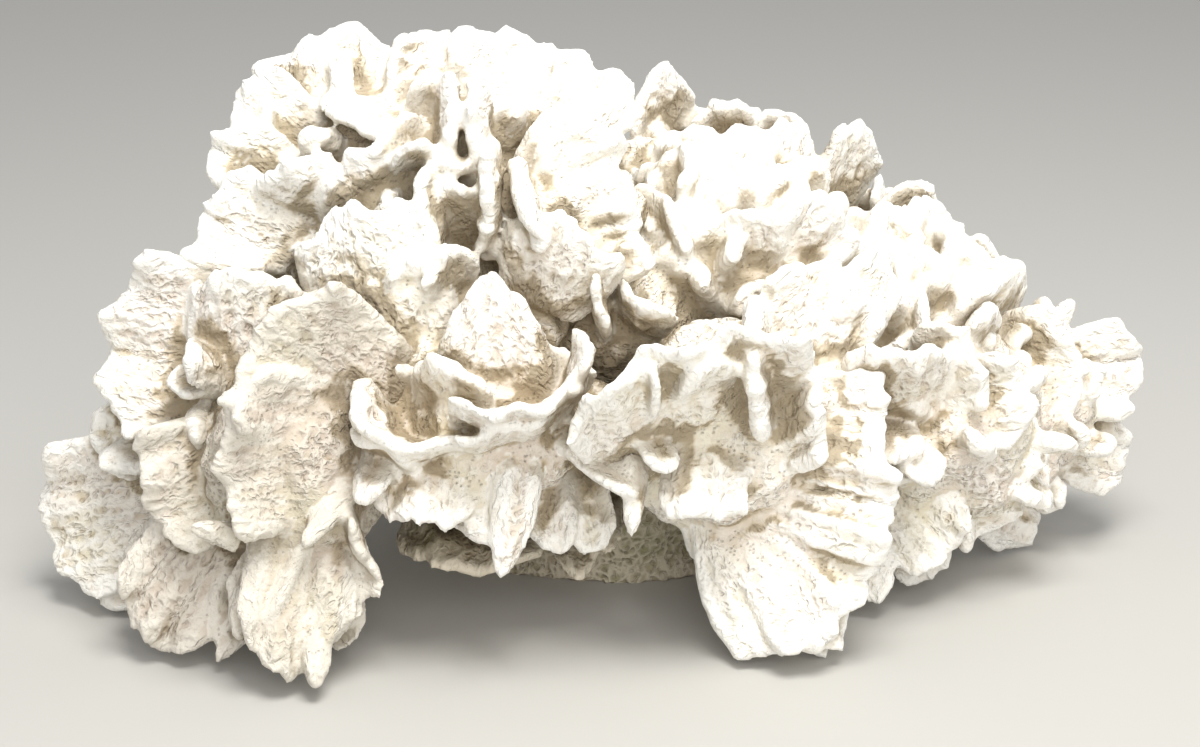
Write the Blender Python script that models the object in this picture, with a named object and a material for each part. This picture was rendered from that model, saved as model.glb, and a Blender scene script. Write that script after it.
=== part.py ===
# Bleached foliose coral colony, broken off its reef and resting on the flat cut of its trunk.
# X runs to the right, Y away from the front and Z up. The origin is the middle of the cut.
# Sizes in the tables are millimetres. Each fork of the colony is one solid.

import math
import random
from dataclasses import dataclass

import bmesh
import bpy
from mathutils import Vector

MM = 0.001

# Driving dimensions, in millimetres
LIP_THICK = 4.6
ROOT_EXTRA = 2.0
# Points of a joined fork that are closer than this become one
WELD = 0.002
# A cutter's points move out by this much, which leaves a gap of at least 0.3 between forks
CUTTER_GROWTH = 0.6
TRUNK_HALF_LENGTH = 84.0
TRUNK_HALF_DEPTH = 46.0
TRUNK_HEIGHT = 78.0
TRUNK_FLARE = 1.15
TRUNK_SIDES = 16
TUBE_OUTER_RADIUS = 3.3
TUBE_BORE_RADIUS = 1.4
TUBE_LENGTH = 9.0
TUBE_SIDES = 10

# Grid of a plate by its least area in square millimetres: cells across and cells from root to lip
GRIDS = ((3600, 4, 2), (1700, 3, 1), (0, 2, 1))
LUMP_FINENESS = 1
# Steps in u and v to either side of a point, for its normal, and the least v used there
NORMAL_STEP = 0.01
LEAST_V = 0.001

# How a shell sits on its lump: depth below the skin in millimetres, spreads in degrees, and lean
SHELL_SINK = 14
SHELL_TURN_SPREAD = 7
SHELL_TILT_SPREAD = 6
SHELL_LEAN = 0.6

# Finishes: colour, roughness
BLEACHED = ((0.90, 0.86, 0.78, 1.0), 0.75)
SHADED = ((0.78, 0.70, 0.60, 1.0), 0.85)
WORM_LIME = ((0.85, 0.80, 0.70, 1.0), 0.6)


@dataclass(frozen=True)
class Plate:
    """A leaf of the colony: it grows from root to tip and its hollow side looks along face."""

    root: tuple
    tip: tuple
    face: tuple
    width: float
    foot: float = 0.45
    cup: float = 0.0
    bow: float = 0.0
    curl: float = 0.0
    ruffle: float = 0.0
    waves: float = 2.0
    phase: float = 0.0
    crown: float = 0.3
    thick: float = LIP_THICK

    def frame(self):
        """Length, and the unit directions along the plate, across it and out of its hollow side."""
        along = Vector(self.tip) - Vector(self.root)
        length = along.length
        along.normalize()
        out = Vector(self.face)
        out = (out - along * out.dot(along)).normalized()
        return length, along, along.cross(out), out

    def point(self, u, v):
        """Middle of the sheet, with u from -1 to 1 across and v from 0 at the root to 1 at the lip."""
        length, along, side, out = self.frame()
        half = self.width / 2 * (self.foot + (1 - self.foot) * math.sin(math.pi / 2 * v ** 0.8))
        reach = v * (1 - self.crown * u * u)
        lift = self.cup * u * u * v + self.bow * 4 * v * (1 - v) + self.curl * v ** 3
        lift += self.ruffle * v * v * math.sin(math.pi * self.waves * u + self.phase)
        return Vector(self.root) + along * length * reach + side * half * u + out * lift

    def normal(self, u, v):
        """Direction square to the sheet at u, v."""
        across = self.point(u + NORMAL_STEP, v) - self.point(u - NORMAL_STEP, v)
        low = max(v - NORMAL_STEP, LEAST_V)
        upward = self.point(u, v + NORMAL_STEP) - self.point(u, low)
        return upward.cross(across).normalized()

    def cells(self):
        """Cells across and from root to lip, more on a larger plate."""
        area = self.width * self.frame()[0]
        return next((across, along) for least, across, along in GRIDS if area >= least)

    def fill(self, mesh):
        """Add the closed plate to a bmesh."""
        cells_across, cells_along = self.cells()
        sheets = []
        for sign in (1, -1):
            rows = []
            for j in range(cells_along + 1):
                v = j / cells_along
                thick = self.thick + ROOT_EXTRA * (1 - v)
                row = []
                for i in range(cells_across + 1):
                    u = -1 + 2 * i / cells_across
                    place = self.point(u, v) + self.normal(u, v) * sign * thick / 2
                    row.append(mesh.verts.new(place * MM))
                rows.append(row)
            sheets.append(rows)
        faces = []
        for rows in sheets:
            for low, high in zip(rows, rows[1:]):
                for i in range(cells_across):
                    faces.append(mesh.faces.new((low[i], low[i + 1], high[i + 1], high[i])))
        rims = [outline(rows) for rows in sheets]
        for i in range(len(rims[0])):
            j = (i + 1) % len(rims[0])
            faces.append(mesh.faces.new((rims[0][i], rims[0][j], rims[1][j], rims[1][i])))
        bmesh.ops.recalc_face_normals(mesh, faces=faces)


@dataclass(frozen=True)
class Lump:
    """A rounded mass, with its centre and its three half sizes."""

    centre: tuple
    radii: tuple

    def fill(self, mesh):
        """Add the closed lump to a bmesh."""
        made = bmesh.ops.create_icosphere(mesh, subdivisions=LUMP_FINENESS, radius=1.0)
        for vert in made["verts"]:
            for axis in range(3):
                vert.co[axis] = (self.centre[axis] + vert.co[axis] * self.radii[axis]) * MM


@dataclass(frozen=True)
class Stump:
    """The trunk: a drum with an uneven outline, wider at the top, cut flat at the bottom."""

    def fill(self, mesh):
        """Add the closed trunk to a bmesh."""
        rings = []
        for height, scale in ((0.0, 1.0), (TRUNK_HEIGHT * 0.4, 0.94), (TRUNK_HEIGHT, TRUNK_FLARE)):
            ring = []
            for i in range(TRUNK_SIDES):
                turn = 2 * math.pi * i / TRUNK_SIDES
                uneven = scale * (1 + 0.05 * math.sin(3 * turn) + 0.04 * math.cos(5 * turn))
                x = TRUNK_HALF_LENGTH * uneven * math.cos(turn)
                y = TRUNK_HALF_DEPTH * uneven * math.sin(turn)
                ring.append(mesh.verts.new(Vector((x, y, height)) * MM))
            rings.append(ring)
        faces = [mesh.faces.new(list(reversed(rings[0]))), mesh.faces.new(rings[-1])]
        for low, high in zip(rings, rings[1:]):
            for i in range(TRUNK_SIDES):
                j = (i + 1) % TRUNK_SIDES
                faces.append(mesh.faces.new((low[i], low[j], high[j], high[i])))
        bmesh.ops.recalc_face_normals(mesh, faces=faces)


def outline(rows):
    """The grid's outer points in order round the plate."""
    ring = list(rows[0])
    ring += [row[-1] for row in rows[1:]]
    ring += list(reversed(rows[-1][:-1]))
    ring += [row[0] for row in reversed(rows[1:-1])]
    return ring


def dress(lump, rng, turns, rings, reach, width, thick=LIP_THICK):
    """Shells over a lump, their faces outward: turns are degrees round Z, and each ring has its
    degrees above level and which way its shells point, 1 for up and -1 for down."""
    shells = []
    for tilt, way in rings:
        for turn in turns:
            swing = math.radians(turn + rng.uniform(-SHELL_TURN_SPREAD, SHELL_TURN_SPREAD))
            rise = math.radians(tilt + rng.uniform(-SHELL_TILT_SPREAD, SHELL_TILT_SPREAD))
            out = Vector((math.cos(swing) * math.cos(rise), math.sin(swing) * math.cos(rise), math.sin(rise)))
            level = Vector((-math.sin(swing), math.cos(swing), 0))
            lean = rng.uniform(-SHELL_LEAN, SHELL_LEAN)
            run = (out.cross(level) * math.cos(lean) * way + level * math.sin(lean)) * reach
            skin = Vector([c + r * o for c, r, o in zip(lump.centre, lump.radii, out)])
            root = skin - out * SHELL_SINK - run * 0.5
            tip = skin + out * reach * rng.uniform(0.3, 0.6) + run * rng.uniform(0.7, 0.95)
            face = out + level * rng.uniform(-0.5, 0.5)
            shells.append(Plate(
                tuple(root), tuple(tip), tuple(face), width * rng.uniform(0.85, 1.15), foot=0.6,
                cup=rng.uniform(3, 8), curl=rng.uniform(-2, 4), ruffle=2.0,
                phase=rng.uniform(0, 6), thick=thick))
    return shells


# Trunk
def trunk():
    """The stump with the plates near its foot."""
    return [
        Stump(),
        Plate((-42, -36, 46), (-58, -108, 32), (0, -0.5, 1), 60, foot=0.9, cup=-4, ruffle=2, thick=5.5),
        Plate((-12, -30, 48), (-10, -92, 22), (0, -0.4, 1), 22, foot=0.9, cup=-3),
        Plate((2, -30, 50), (2, -84, 30), (0.2, -0.5, 1), 16, foot=0.9, cup=-3),
    ]


# Worm tube
@dataclass(frozen=True)
class Tube:
    """A short round tube with a bore right through, from root to tip."""

    root: tuple
    tip: tuple

    def fill(self, mesh):
        """Add the closed tube to a bmesh."""
        start, end = Vector(self.root), Vector(self.tip)
        turn = (end - start).to_track_quat("Z", "Y")
        rings = []
        for place, radius in ((start, TUBE_BORE_RADIUS), (start, TUBE_OUTER_RADIUS),
                              (end, TUBE_OUTER_RADIUS), (end, TUBE_BORE_RADIUS)):
            ring = []
            for i in range(TUBE_SIDES):
                swing = 2 * math.pi * i / TUBE_SIDES
                spoke = Vector((math.cos(swing), math.sin(swing), 0)) * radius
                ring.append(mesh.verts.new((place + turn @ spoke) * MM))
            rings.append(ring)
        faces = []
        for low, high in zip(rings, rings[1:] + rings[:1]):
            for i in range(TUBE_SIDES):
                j = (i + 1) % TUBE_SIDES
                faces.append(mesh.faces.new((low[i], low[j], high[j], high[i])))
        bmesh.ops.recalc_face_normals(mesh, faces=faces)


def worm_tube():
    """The limy tube of a worm, fixed in the hollow beside the middle folds."""
    return [Tube((0, -88, 84), (-2, -88 - TUBE_LENGTH - 4, 82))]


# Left wing
def left_wing():
    """The fan at the far left and the large round plate above it."""
    return [
        Lump((-146, -62, 72), (43, 41, 50)),
        Plate((-164, -78, 56), (-229, -56, 28), (-0.3, -1, 0.3), 66, foot=0.4, cup=8, curl=5, ruffle=2,
              waves=3),
        Plate((-162, -78, 40), (-214, -66, 8), (-0.2, -1, 0.4), 38, cup=5, ruffle=2),
        Plate((-148, -84, 84), (-205, -70, 78), (-0.3, -1, 0.5), 38, cup=6, ruffle=2, thick=5.5),
        Plate((-130, -88, 114), (-195, -70, 118), (-0.3, -1, 0.3), 74, cup=11, curl=6, ruffle=2, waves=3,
              thick=6),
        Plate((-142, -92, 104), (-156, -110, 130), (-0.8, -0.5, 0.6), 22, cup=7, thick=5),
        Plate((-138, -94, 100), (-132, -92, 153), (0.1, 0.9, 0.35), 54, foot=0.6, cup=16, curl=-4, thick=6),
        Plate((-142, -60, 110), (-193, -44, 106), (-0.4, 0.6, 0.8), 60, cup=6, ruffle=3),
        Plate((-152, -50, 64), (-212, -26, 44), (-0.4, 0.5, 0.8), 56, cup=5, ruffle=3),
    ]


# Left curtain
def left_curtain():
    """The long plates that hang at the lower left, with the finger and the cup."""
    return [
        Lump((-118, -100, 76), (39, 37, 46)),
        Plate((-84, -102, 96), (-130, -128, 141), (0.25, -1, 0.25), 66, foot=0.8, cup=5, curl=6, ruffle=1.5,
              crown=0.22, thick=6),
        Plate((-90, -106, 84), (-145, -144, 98), (0.15, -1, 0.15), 66, foot=0.8, cup=4, curl=5, ruffle=2,
              crown=0.22, thick=5.5),
        Plate((-134, -104, 78), (-178, -114, 66), (0.2, -1, 0.3), 52, foot=0.7, cup=7, curl=4, ruffle=2,
              thick=5),
        Plate((-140, -106, 66), (-176, -120, 7), (-0.1, -1, 0.25), 50, foot=0.6, cup=6, curl=4, ruffle=3,
              waves=3),
        Plate((-110, -114, 74), (-119, -153, 8), (0.1, -1, 0.15), 44, foot=0.9, cup=6, ruffle=3, waves=3),
        Plate((-116, -122, 66), (-136, -142, 20), (-0.5, -1, 0.2), 26, foot=0.9, cup=4, ruffle=2),
        Plate((-108, -122, 48), (-107, -157, 6), (0.3, -1, 0), 11, foot=1, crown=0.15, thick=8),
        Plate((-110, -110, 48), (-84, -132, 36), (-0.8, -0.7, 0.1), 60, foot=0.8, cup=12, curl=5, ruffle=2),
        Plate((-90, -120, 82), (-112, -145, 60), (-0.3, -1, 0.3), 11, foot=1, thick=5.5),
    ]


# Left crown
def left_crown():
    """The high mass on the left, with thick lobes, folds, blades and the ribbed fan on its right."""
    heart = Lump((-78, -28, 156), (58, 44, 58))
    rng = random.Random(4)
    back = dress(heart, rng, (92,), ((30, 1),), 28, 56)
    side = dress(heart, rng, (156, 196), ((26, 1),), 26, 44)
    return [
        heart,
        Lump((-58, -60, 108), (47, 43, 43)),
        Lump((-14, -40, 150), (34, 34, 40)),
        Lump((-58, -26, 190), (52, 24, 26)),
        Plate((-120, -36, 198), (-119, -22, 226), (-0.2, -1, 0.3), 36, foot=0.6, cup=6, ruffle=2, thick=6),
        Plate((-98, -34, 202), (-94, -18, 230), (0, -1, 0.3), 34, foot=0.6, cup=5, ruffle=2, thick=6),
        Plate((-74, -38, 202), (-66, -18, 230), (0.3, -1, 0.2), 32, foot=0.7, cup=5, ruffle=2, thick=6),
        Plate((-44, -38, 202), (-38, -16, 230), (0.1, -1, 0.3), 42, foot=0.6, cup=7, ruffle=2, thick=6),
        Plate((-24, -34, 194), (-11, -14, 221), (0.3, -1, 0.3), 34, foot=0.6, cup=6, ruffle=2, thick=6),
        Plate((-8, -28, 188), (10, -18, 211), (0.3, -1, 0.3), 30, foot=0.6, cup=5, thick=5.5),
        Plate((-116, -44, 190), (-143, -44, 212), (-0.4, -0.8, 0.5), 34, foot=0.7, cup=6, ruffle=2, thick=6),
        Plate((-118, -66, 154), (-154, -68, 172), (-0.3, -0.9, 0.4), 40, foot=0.6, cup=8, ruffle=2, thick=6),
        Plate((-78, -54, 164), (-92, -76, 196), (-0.2, -0.8, 0.7), 54, foot=0.9, cup=-7, ruffle=2,
              thick=6),
        Plate((-80, -90, 120), (-94, -88, 178), (-0.1, -1, 0.1), 58, foot=0.9, cup=-5, ruffle=3, thick=5.5),
        Plate((-63, -40, 186), (-58, -78, 210), (1, -0.2, 0.1), 42, foot=0.9, curl=3, thick=6),
        Plate((-46, -40, 186), (-45, -78, 210), (-1, -0.2, 0.1), 42, foot=0.9, curl=3, thick=6),
        Plate((-52, -62, 156), (-56, -82, 186), (0, -1, 0.1), 32, foot=0.9, ruffle=3),
        Plate((-42, -58, 176), (-42, -94, 176), (1, -0.2, 0), 42, foot=0.9, curl=-3, thick=6),
        Plate((-30, -62, 180), (-24, -98, 160), (0.9, -0.5, 0), 28, foot=0.9, crown=0.6, ruffle=3, thick=5.5),
        Plate((-24, -76, 132), (-9, -92, 168), (0.1, -1, 0.3), 50, foot=0.6, cup=-6, curl=-3, thick=5),
        Plate((-28, -60, 162), (14, -58, 180), (0.1, -1, 0.3), 76, foot=0.5, cup=5, ruffle=3, waves=3,
              thick=5.5),
    ] + back + side


# Middle folds
def middle_folds():
    """The tall bright fold, the bowl and the cup beside it, and the teeth and struts below."""
    return [
        Lump((-44, -92, 88), (41, 34, 36)),
        Lump((0, -80, 84), (18, 18, 18)),
        Plate((-38, -106, 94), (-43, -108, 155), (0.1, -1, 0.25), 48, foot=1.3, cup=-8, bow=3, crown=0.75,
              thick=6.5),
        Plate((-56, -106, 94), (-57, -124, 128), (-0.4, -1, 0.4), 34, foot=1, cup=-5, crown=0.4, thick=6),
        Plate((-35, -104, 92), (-25, -152, 118), (0, -0.3, 1), 54, foot=0.7, cup=10, ruffle=2, waves=3,
              thick=4.4),
        Plate((-14, -102, 102), (-6, -134, 130), (-0.9, -0.1, 0.6), 34, foot=0.8, cup=6, thick=5),
        Plate((-74, -106, 86), (-92, -136, 112), (1, 0.1, 0.6), 38, foot=0.9, cup=6, ruffle=2, thick=5.5),
        Plate((-72, -104, 84), (-76, -142, 98), (0.1, 0.1, 1), 40, foot=0.8, cup=6, ruffle=2, thick=5),
        Plate((-70, -92, 96), (-78, -104, 118), (-0.1, -1, 0.4), 28, foot=0.9, cup=-6, crown=0.5, thick=6),
        Plate((-62, -104, 96), (-64, -136, 66), (0, -1, -0.1), 64, foot=0.9, cup=-7, ruffle=3, waves=3),
        Plate((-30, -108, 94), (-37, -143, 46), (0.3, -1, 0), 18, foot=1.1, bow=4, crown=0.6, thick=7),
        Plate((-62, -108, 64), (-36, -140, 58), (0, -1, 0.5), 11, foot=1, thick=5.5),
        Plate((-20, -108, 100), (15, -134, 76), (0.3, -0.7, 1), 12, foot=1.1, bow=-5, thick=5.5),
        Plate((-26, -90, 72), (-15, -114, 42), (0, -1, 0.4), 22, foot=0.8, cup=4, thick=5.5),
        Plate((-8, -88, 72), (-2, -108, 38), (0.3, -1, 0.4), 20, foot=0.9, cup=3, thick=5.5),
    ]


# Front cone
def front_cone():
    """The wavy rim over the textured plate, the buttress and the big ribbed cone."""
    return [
        Lump((52, -82, 82), (47, 37, 47)),
        Plate((46, -98, 76), (24, -144, 143), (0, -1, 0.25), 98, foot=0.8, cup=3, curl=5, ruffle=4,
              waves=3, crown=0.25, thick=5),
        Plate((62, -92, 116), (57, -141, 126), (1, 0, 0.1), 54, foot=0.9, thick=6.5),
        Plate((72, -86, 104), (94, -76, 150), (0.2, -1, 0.25), 52, foot=0.7, cup=5, ruffle=3, thick=5),
        Plate((42, -106, 92), (38, -138, 66), (0, -1, 0.1), 34, foot=1, cup=-4, ruffle=2, crown=0.15),
        Plate((14, -106, 106), (26, -136, 86), (0.4, -0.6, 1), 15, foot=1.1, bow=-4, thick=5.5),
        Plate((42, -96, 66), (112, -121, 58), (-0.1, -1, 0.3), 116, foot=0.25, cup=-12, ruffle=4,
              waves=4, crown=0.25),
        Plate((50, -98, 78), (84, -120, 116), (0, -1, 0.35), 46, foot=0.5, cup=5, curl=4, ruffle=3,
              thick=5),
        Plate((46, -98, 56), (84, -133, 12), (0, -1, 0.2), 58, foot=0.4, cup=-8, ruffle=3, waves=3,
              thick=5),
        Plate((44, -94, 52), (64, -124, 16), (-0.4, -1, 0.2), 30, foot=0.8, cup=-5, ruffle=3,
              thick=5),
        Plate((66, -98, 40), (93, -125, 9), (0.3, -1, 0.3), 34, foot=0.7, cup=7, ruffle=2, thick=5),
    ]


# Right ridge
RIDGE_SHELLS = 6
RIDGE_START = 14
RIDGE_RUN = 172
RIDGE_DEPTH = 26
RIDGE_ROOT_DROP = 44
RIDGE_LINE = (
    (8, 206), (34, 206), (60, 190), (80, 190), (108, 178), (134, 160), (152, 142), (172, 126), (190, 110))


def ridge_height(x):
    """Height of the ridge above x, read along its line."""
    for (x0, z0), (x1, z1) in zip(RIDGE_LINE, RIDGE_LINE[1:]):
        if x <= x1:
            share = max((x - x0) / (x1 - x0), 0)
            return z0 + (z1 - z0) * share
    return RIDGE_LINE[-1][1]


def right_ridge():
    """The long slope at the back right, set with rows of thick rounded shells."""
    rng = random.Random(11)
    upper = Lump((52, 4, 124), (58, 50, 50))
    lower = Lump((118, 8, 92), (60, 48, 48))
    crest = []
    for i in range(RIDGE_SHELLS):
        x = RIDGE_START + RIDGE_RUN * (i + 0.3) / RIDGE_SHELLS + rng.uniform(-3, 3)
        top = ridge_height(x) + rng.uniform(-3, 2)
        face = (rng.uniform(-0.5, 0.7), -1, 0.4)
        crest.append(Plate(
            (x * 0.9 + 6, RIDGE_DEPTH + 12, top - RIDGE_ROOT_DROP), (x, RIDGE_DEPTH - 4, top), face,
            rng.uniform(33, 40), foot=0.6, cup=rng.uniform(4, 8), crown=0.45, thick=5.5))
    slope = dress(upper, rng, (-124, -86, -48), ((24, 1), (56, 1)), 24, 44, 6)
    foot = dress(lower, rng, (-84, -40), ((24, 1),), 24, 46, 6)
    return [
        upper,
        lower,
        Lump((10, 14, 138), (34, 34, 40)),
        Lump((6, -34, 112), (36, 34, 38)),
        Plate((2, -50, 116), (-3, -92, 147), (0.1, -0.8, 0.6), 28, cup=5),
        Plate((14, -50, 112), (16, -92, 139), (0.1, -0.8, 0.6), 28, cup=5),
        Plate((56, 20, 160), (60, 46, 184), (0, 1, 0.4), 44, cup=6, ruffle=3),
    ] + crest + slope + foot


# Right wing
def right_wing():
    """Shells, scale plates, the column plate and the fans at the far right."""
    return [
        Lump((140, -34, 66), (47, 43, 45)),
        Lump((174, -6, 62), (38, 32, 38)),
        Plate((114, -58, 72), (113, -96, 121), (0.1, -1, 0.4), 58, foot=0.8, cup=-9, ruffle=2, thick=6),
        Plate((118, -62, 80), (115, -104, 77), (0.2, -0.6, 1), 24, cup=4, thick=5.5),
        Plate((118, -60, 50), (140, -74, 21), (-0.1, -1, 0.5), 42, foot=0.6, cup=9, ruffle=2, thick=4.2),
        Plate((124, -52, 36), (138, -60, 6), (0, -1, 0.3), 26, foot=0.8, cup=4),
        Plate((130, -58, 92), (150, -73, 114), (0, -1, 0.4), 42, cup=6, ruffle=2, thick=5.5),
        Plate((136, -58, 84), (175, -66, 91), (0.1, -1, 0.3), 40, cup=6, ruffle=2, thick=5.5),
        Plate((136, -54, 70), (182, -54, 62), (0.1, -1, 0.3), 38, cup=5, ruffle=2),
        Plate((134, -50, 54), (179, -46, 34), (0.1, -1, 0.3), 38, cup=5, ruffle=2, thick=4.4),
        Plate((152, -30, 40), (190, -11, 9), (0.2, -1, 0.3), 36, foot=0.7, cup=4, ruffle=2),
        Plate((168, -14, 80), (201, -29, 82), (-0.3, -1, 0.2), 66, foot=0.8, cup=5, ruffle=2, thick=6.5),
        Plate((190, -2, 76), (234, 4, 78), (0, -1, 0.3), 44, foot=0.5, cup=6, ruffle=3, waves=3),
        Plate((190, -2, 48), (233, 2, 38), (0, -1, 0.3), 40, foot=0.5, cup=5, ruffle=3, waves=3, thick=4.2),
        Plate((180, 8, 66), (217, 26, 63), (0.3, 1, 0.5), 50, cup=5, ruffle=3),
    ]


# Back of the colony
def back_fork(hearts, seed, turns):
    """A rounded fork behind the trunk, its first mass set with rings of shells."""
    rng = random.Random(seed)
    return hearts + dress(hearts[0], rng, turns, ((-6, -1), (36, 1)), 38, 68)


def back_left():
    """The hidden side behind the crown and the left wing."""
    hearts = [Lump((-84, 52, 94), (62, 49, 60)), Lump((-14, 28, 112), (48, 38, 48))]
    return back_fork(hearts, 21, (62, 104, 146))


def back_right():
    """The hidden side behind the ridge and the right wing."""
    hearts = [Lump((70, 60, 80), (70, 52, 56))]
    return back_fork(hearts, 33, (16, 60, 104))


FORKS = (
    ("trunk", trunk, SHADED),
    ("left_crown", left_crown, BLEACHED),
    ("front_cone", front_cone, BLEACHED),
    ("left_curtain", left_curtain, BLEACHED),
    ("middle_folds", middle_folds, BLEACHED),
    ("left_wing", left_wing, BLEACHED),
    ("right_ridge", right_ridge, BLEACHED),
    ("right_wing", right_wing, BLEACHED),
    ("back_left", back_left, SHADED),
    ("back_right", back_right, SHADED),
    ("worm_tube", worm_tube, WORM_LIME),
)


def clear_scene():
    """Remove every object that the file started with."""
    for thing in list(bpy.data.objects):
        bpy.data.objects.remove(thing)


def finish(name, look):
    """A Principled material with the given colour and roughness."""
    colour, roughness = look
    material = bpy.data.materials.new(name)
    material.use_nodes = True
    shader = material.node_tree.nodes["Principled BSDF"]
    shader.inputs["Base Color"].default_value = colour
    shader.inputs["Roughness"].default_value = roughness
    shader.inputs["Metallic"].default_value = 0.0
    return material


def new_object(name, mesh):
    """Turn a bmesh into an object in the scene."""
    data = bpy.data.meshes.new(name)
    bmesh.ops.triangulate(mesh, faces=mesh.faces[:])
    mesh.to_mesh(data)
    mesh.free()
    thing = bpy.data.objects.new(name, data)
    bpy.context.scene.collection.objects.link(thing)
    return thing


def shapes_object(name, shapes, growth=0.0):
    """All the shapes in one object, each still a body of its own, swollen by growth."""
    mesh = bmesh.new()
    for shape in shapes:
        shape.fill(mesh)
    mesh.normal_update()
    for vert in mesh.verts:
        vert.co += vert.normal * growth * MM
    return new_object(name, mesh)


def combine(thing, other, operation):
    """Join or cut one object by another and keep the result as its mesh."""
    step = thing.modifiers.new("Combine", "BOOLEAN")
    step.operation = operation
    step.solver = "EXACT"
    step.use_self = True
    step.object = other
    graph = bpy.context.evaluated_depsgraph_get()
    result = bpy.data.meshes.new_from_object(thing.evaluated_get(graph))
    thing.modifiers.remove(step)
    thing.data = result
    bpy.data.objects.remove(other)


def islands(mesh):
    """The connected groups of vertices of a bmesh."""
    unseen = set(mesh.verts)
    groups = []
    while unseen:
        seed = unseen.pop()
        group = {seed}
        front = [seed]
        while front:
            vert = front.pop()
            for edge in vert.link_edges:
                near = edge.other_vert(vert)
                if near in unseen:
                    unseen.remove(near)
                    group.add(near)
                    front.append(near)
        groups.append(group)
    return groups


def keep_largest(thing):
    """Delete the chips that a cut left loose, and weld points that fell together."""
    mesh = bmesh.new()
    mesh.from_mesh(thing.data)
    groups = sorted(islands(mesh), key=len)
    loose = [vert for group in groups[:-1] for vert in group]
    bmesh.ops.delete(mesh, geom=loose, context="VERTS")
    bmesh.ops.remove_doubles(mesh, verts=mesh.verts[:], dist=WELD * MM)
    bmesh.ops.triangulate(mesh, faces=mesh.faces[:])
    mesh.to_mesh(thing.data)
    mesh.free()


def make_fork(name, shapes, look, earlier):
    """One fork: its shapes joined, cut clear of the forks made before it."""
    fork = shapes_object(name, shapes[:1])
    if len(shapes) > 1:
        combine(fork, shapes_object("rest", shapes[1:]), "UNION")
    if earlier:
        combine(fork, shapes_object("neighbours", earlier, CUTTER_GROWTH), "DIFFERENCE")
    keep_largest(fork)
    fork.data.materials.clear()
    fork.data.materials.append(finish(name + "_finish", look))
    return fork


def main():
    """Build the forks in order."""
    clear_scene()
    earlier = []
    for name, shapes, look in FORKS:
        made = shapes()
        make_fork(name, made, look, earlier)
        earlier += made


main()
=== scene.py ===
"""Dressing of a bleached, leafy stony coral colony that rests on the flat cut of its trunk.

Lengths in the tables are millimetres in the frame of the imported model. Each fork grows from the
same leaves as its solid, on a fine grid with ribs and a knobbly lip. The leaves are fused into
one skin, and the skin gets the net of low walls and pits of a stony skeleton.
"""

import logging
import math
import random
from abc import ABC, abstractmethod
from dataclasses import dataclass, replace
from enum import Enum
from typing import Any, Callable, ClassVar, Iterable, Optional, Sequence, Union

import bpy
import numpy as np
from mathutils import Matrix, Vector
from mathutils.kdtree import KDTree


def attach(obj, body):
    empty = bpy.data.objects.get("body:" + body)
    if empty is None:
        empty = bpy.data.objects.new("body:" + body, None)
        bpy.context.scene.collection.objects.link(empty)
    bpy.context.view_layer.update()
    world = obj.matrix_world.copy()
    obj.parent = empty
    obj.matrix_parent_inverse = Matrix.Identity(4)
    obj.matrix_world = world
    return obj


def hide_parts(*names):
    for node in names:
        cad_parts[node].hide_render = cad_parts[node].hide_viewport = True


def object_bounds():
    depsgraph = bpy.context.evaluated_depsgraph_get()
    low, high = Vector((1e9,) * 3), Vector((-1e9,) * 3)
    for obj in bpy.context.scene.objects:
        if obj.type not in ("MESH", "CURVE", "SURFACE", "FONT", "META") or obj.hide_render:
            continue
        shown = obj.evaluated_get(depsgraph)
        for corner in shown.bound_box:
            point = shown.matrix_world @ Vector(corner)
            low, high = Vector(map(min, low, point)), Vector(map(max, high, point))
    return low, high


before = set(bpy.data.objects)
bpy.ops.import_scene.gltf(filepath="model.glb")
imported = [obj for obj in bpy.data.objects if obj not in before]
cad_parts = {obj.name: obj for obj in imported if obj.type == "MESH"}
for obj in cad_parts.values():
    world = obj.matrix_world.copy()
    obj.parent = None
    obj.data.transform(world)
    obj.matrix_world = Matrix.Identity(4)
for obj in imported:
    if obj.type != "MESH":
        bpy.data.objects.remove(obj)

CAD_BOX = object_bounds()
LOG = logging.getLogger("coral")
MM = 0.001
BODY = "root"

Triple = tuple[float, float, float]
Colour = tuple[float, float, float, float]


class Slot(Enum):
    """The record's material slots."""

    BLEACHED = "bleached_skeleton"
    SHADED = "shaded_skeleton"
    WORM = "worm_lime"


class Note(Enum):
    """What the skin remembers at each of its points."""

    GRAIN = "grain"
    RIM = "rim"
    RIB = "rib"
    HOLLOW = "hollow"
    SEAM = "seam"


# Shader and geometry maths


class Value:
    """A socket in an expression: adding or multiplying it adds the Math node that does it."""

    def __init__(self, recipe: "Recipe", socket: bpy.types.NodeSocket) -> None:
        """Wrap an output socket of the recipe's tree."""
        self.recipe = recipe
        self.socket = socket

    def __add__(self, other: "Number") -> "Value":
        """Sum."""
        return self.recipe.math("ADD", self, other)

    def __radd__(self, other: "Number") -> "Value":
        """Sum, with the number first."""
        return self.recipe.math("ADD", other, self)

    def __sub__(self, other: "Number") -> "Value":
        """Difference."""
        return self.recipe.math("SUBTRACT", self, other)

    def __rsub__(self, other: "Number") -> "Value":
        """Difference, with the number first."""
        return self.recipe.math("SUBTRACT", other, self)

    def __mul__(self, other: "Number") -> "Value":
        """Product."""
        return self.recipe.math("MULTIPLY", self, other)

    def __rmul__(self, other: "Number") -> "Value":
        """Product, with the number first."""
        return self.recipe.math("MULTIPLY", other, self)

    def __pow__(self, other: "Number") -> "Value":
        """Power."""
        return self.recipe.math("POWER", self, other)


Number = Union[Value, float]
Input = Union[Value, float, tuple]


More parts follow.
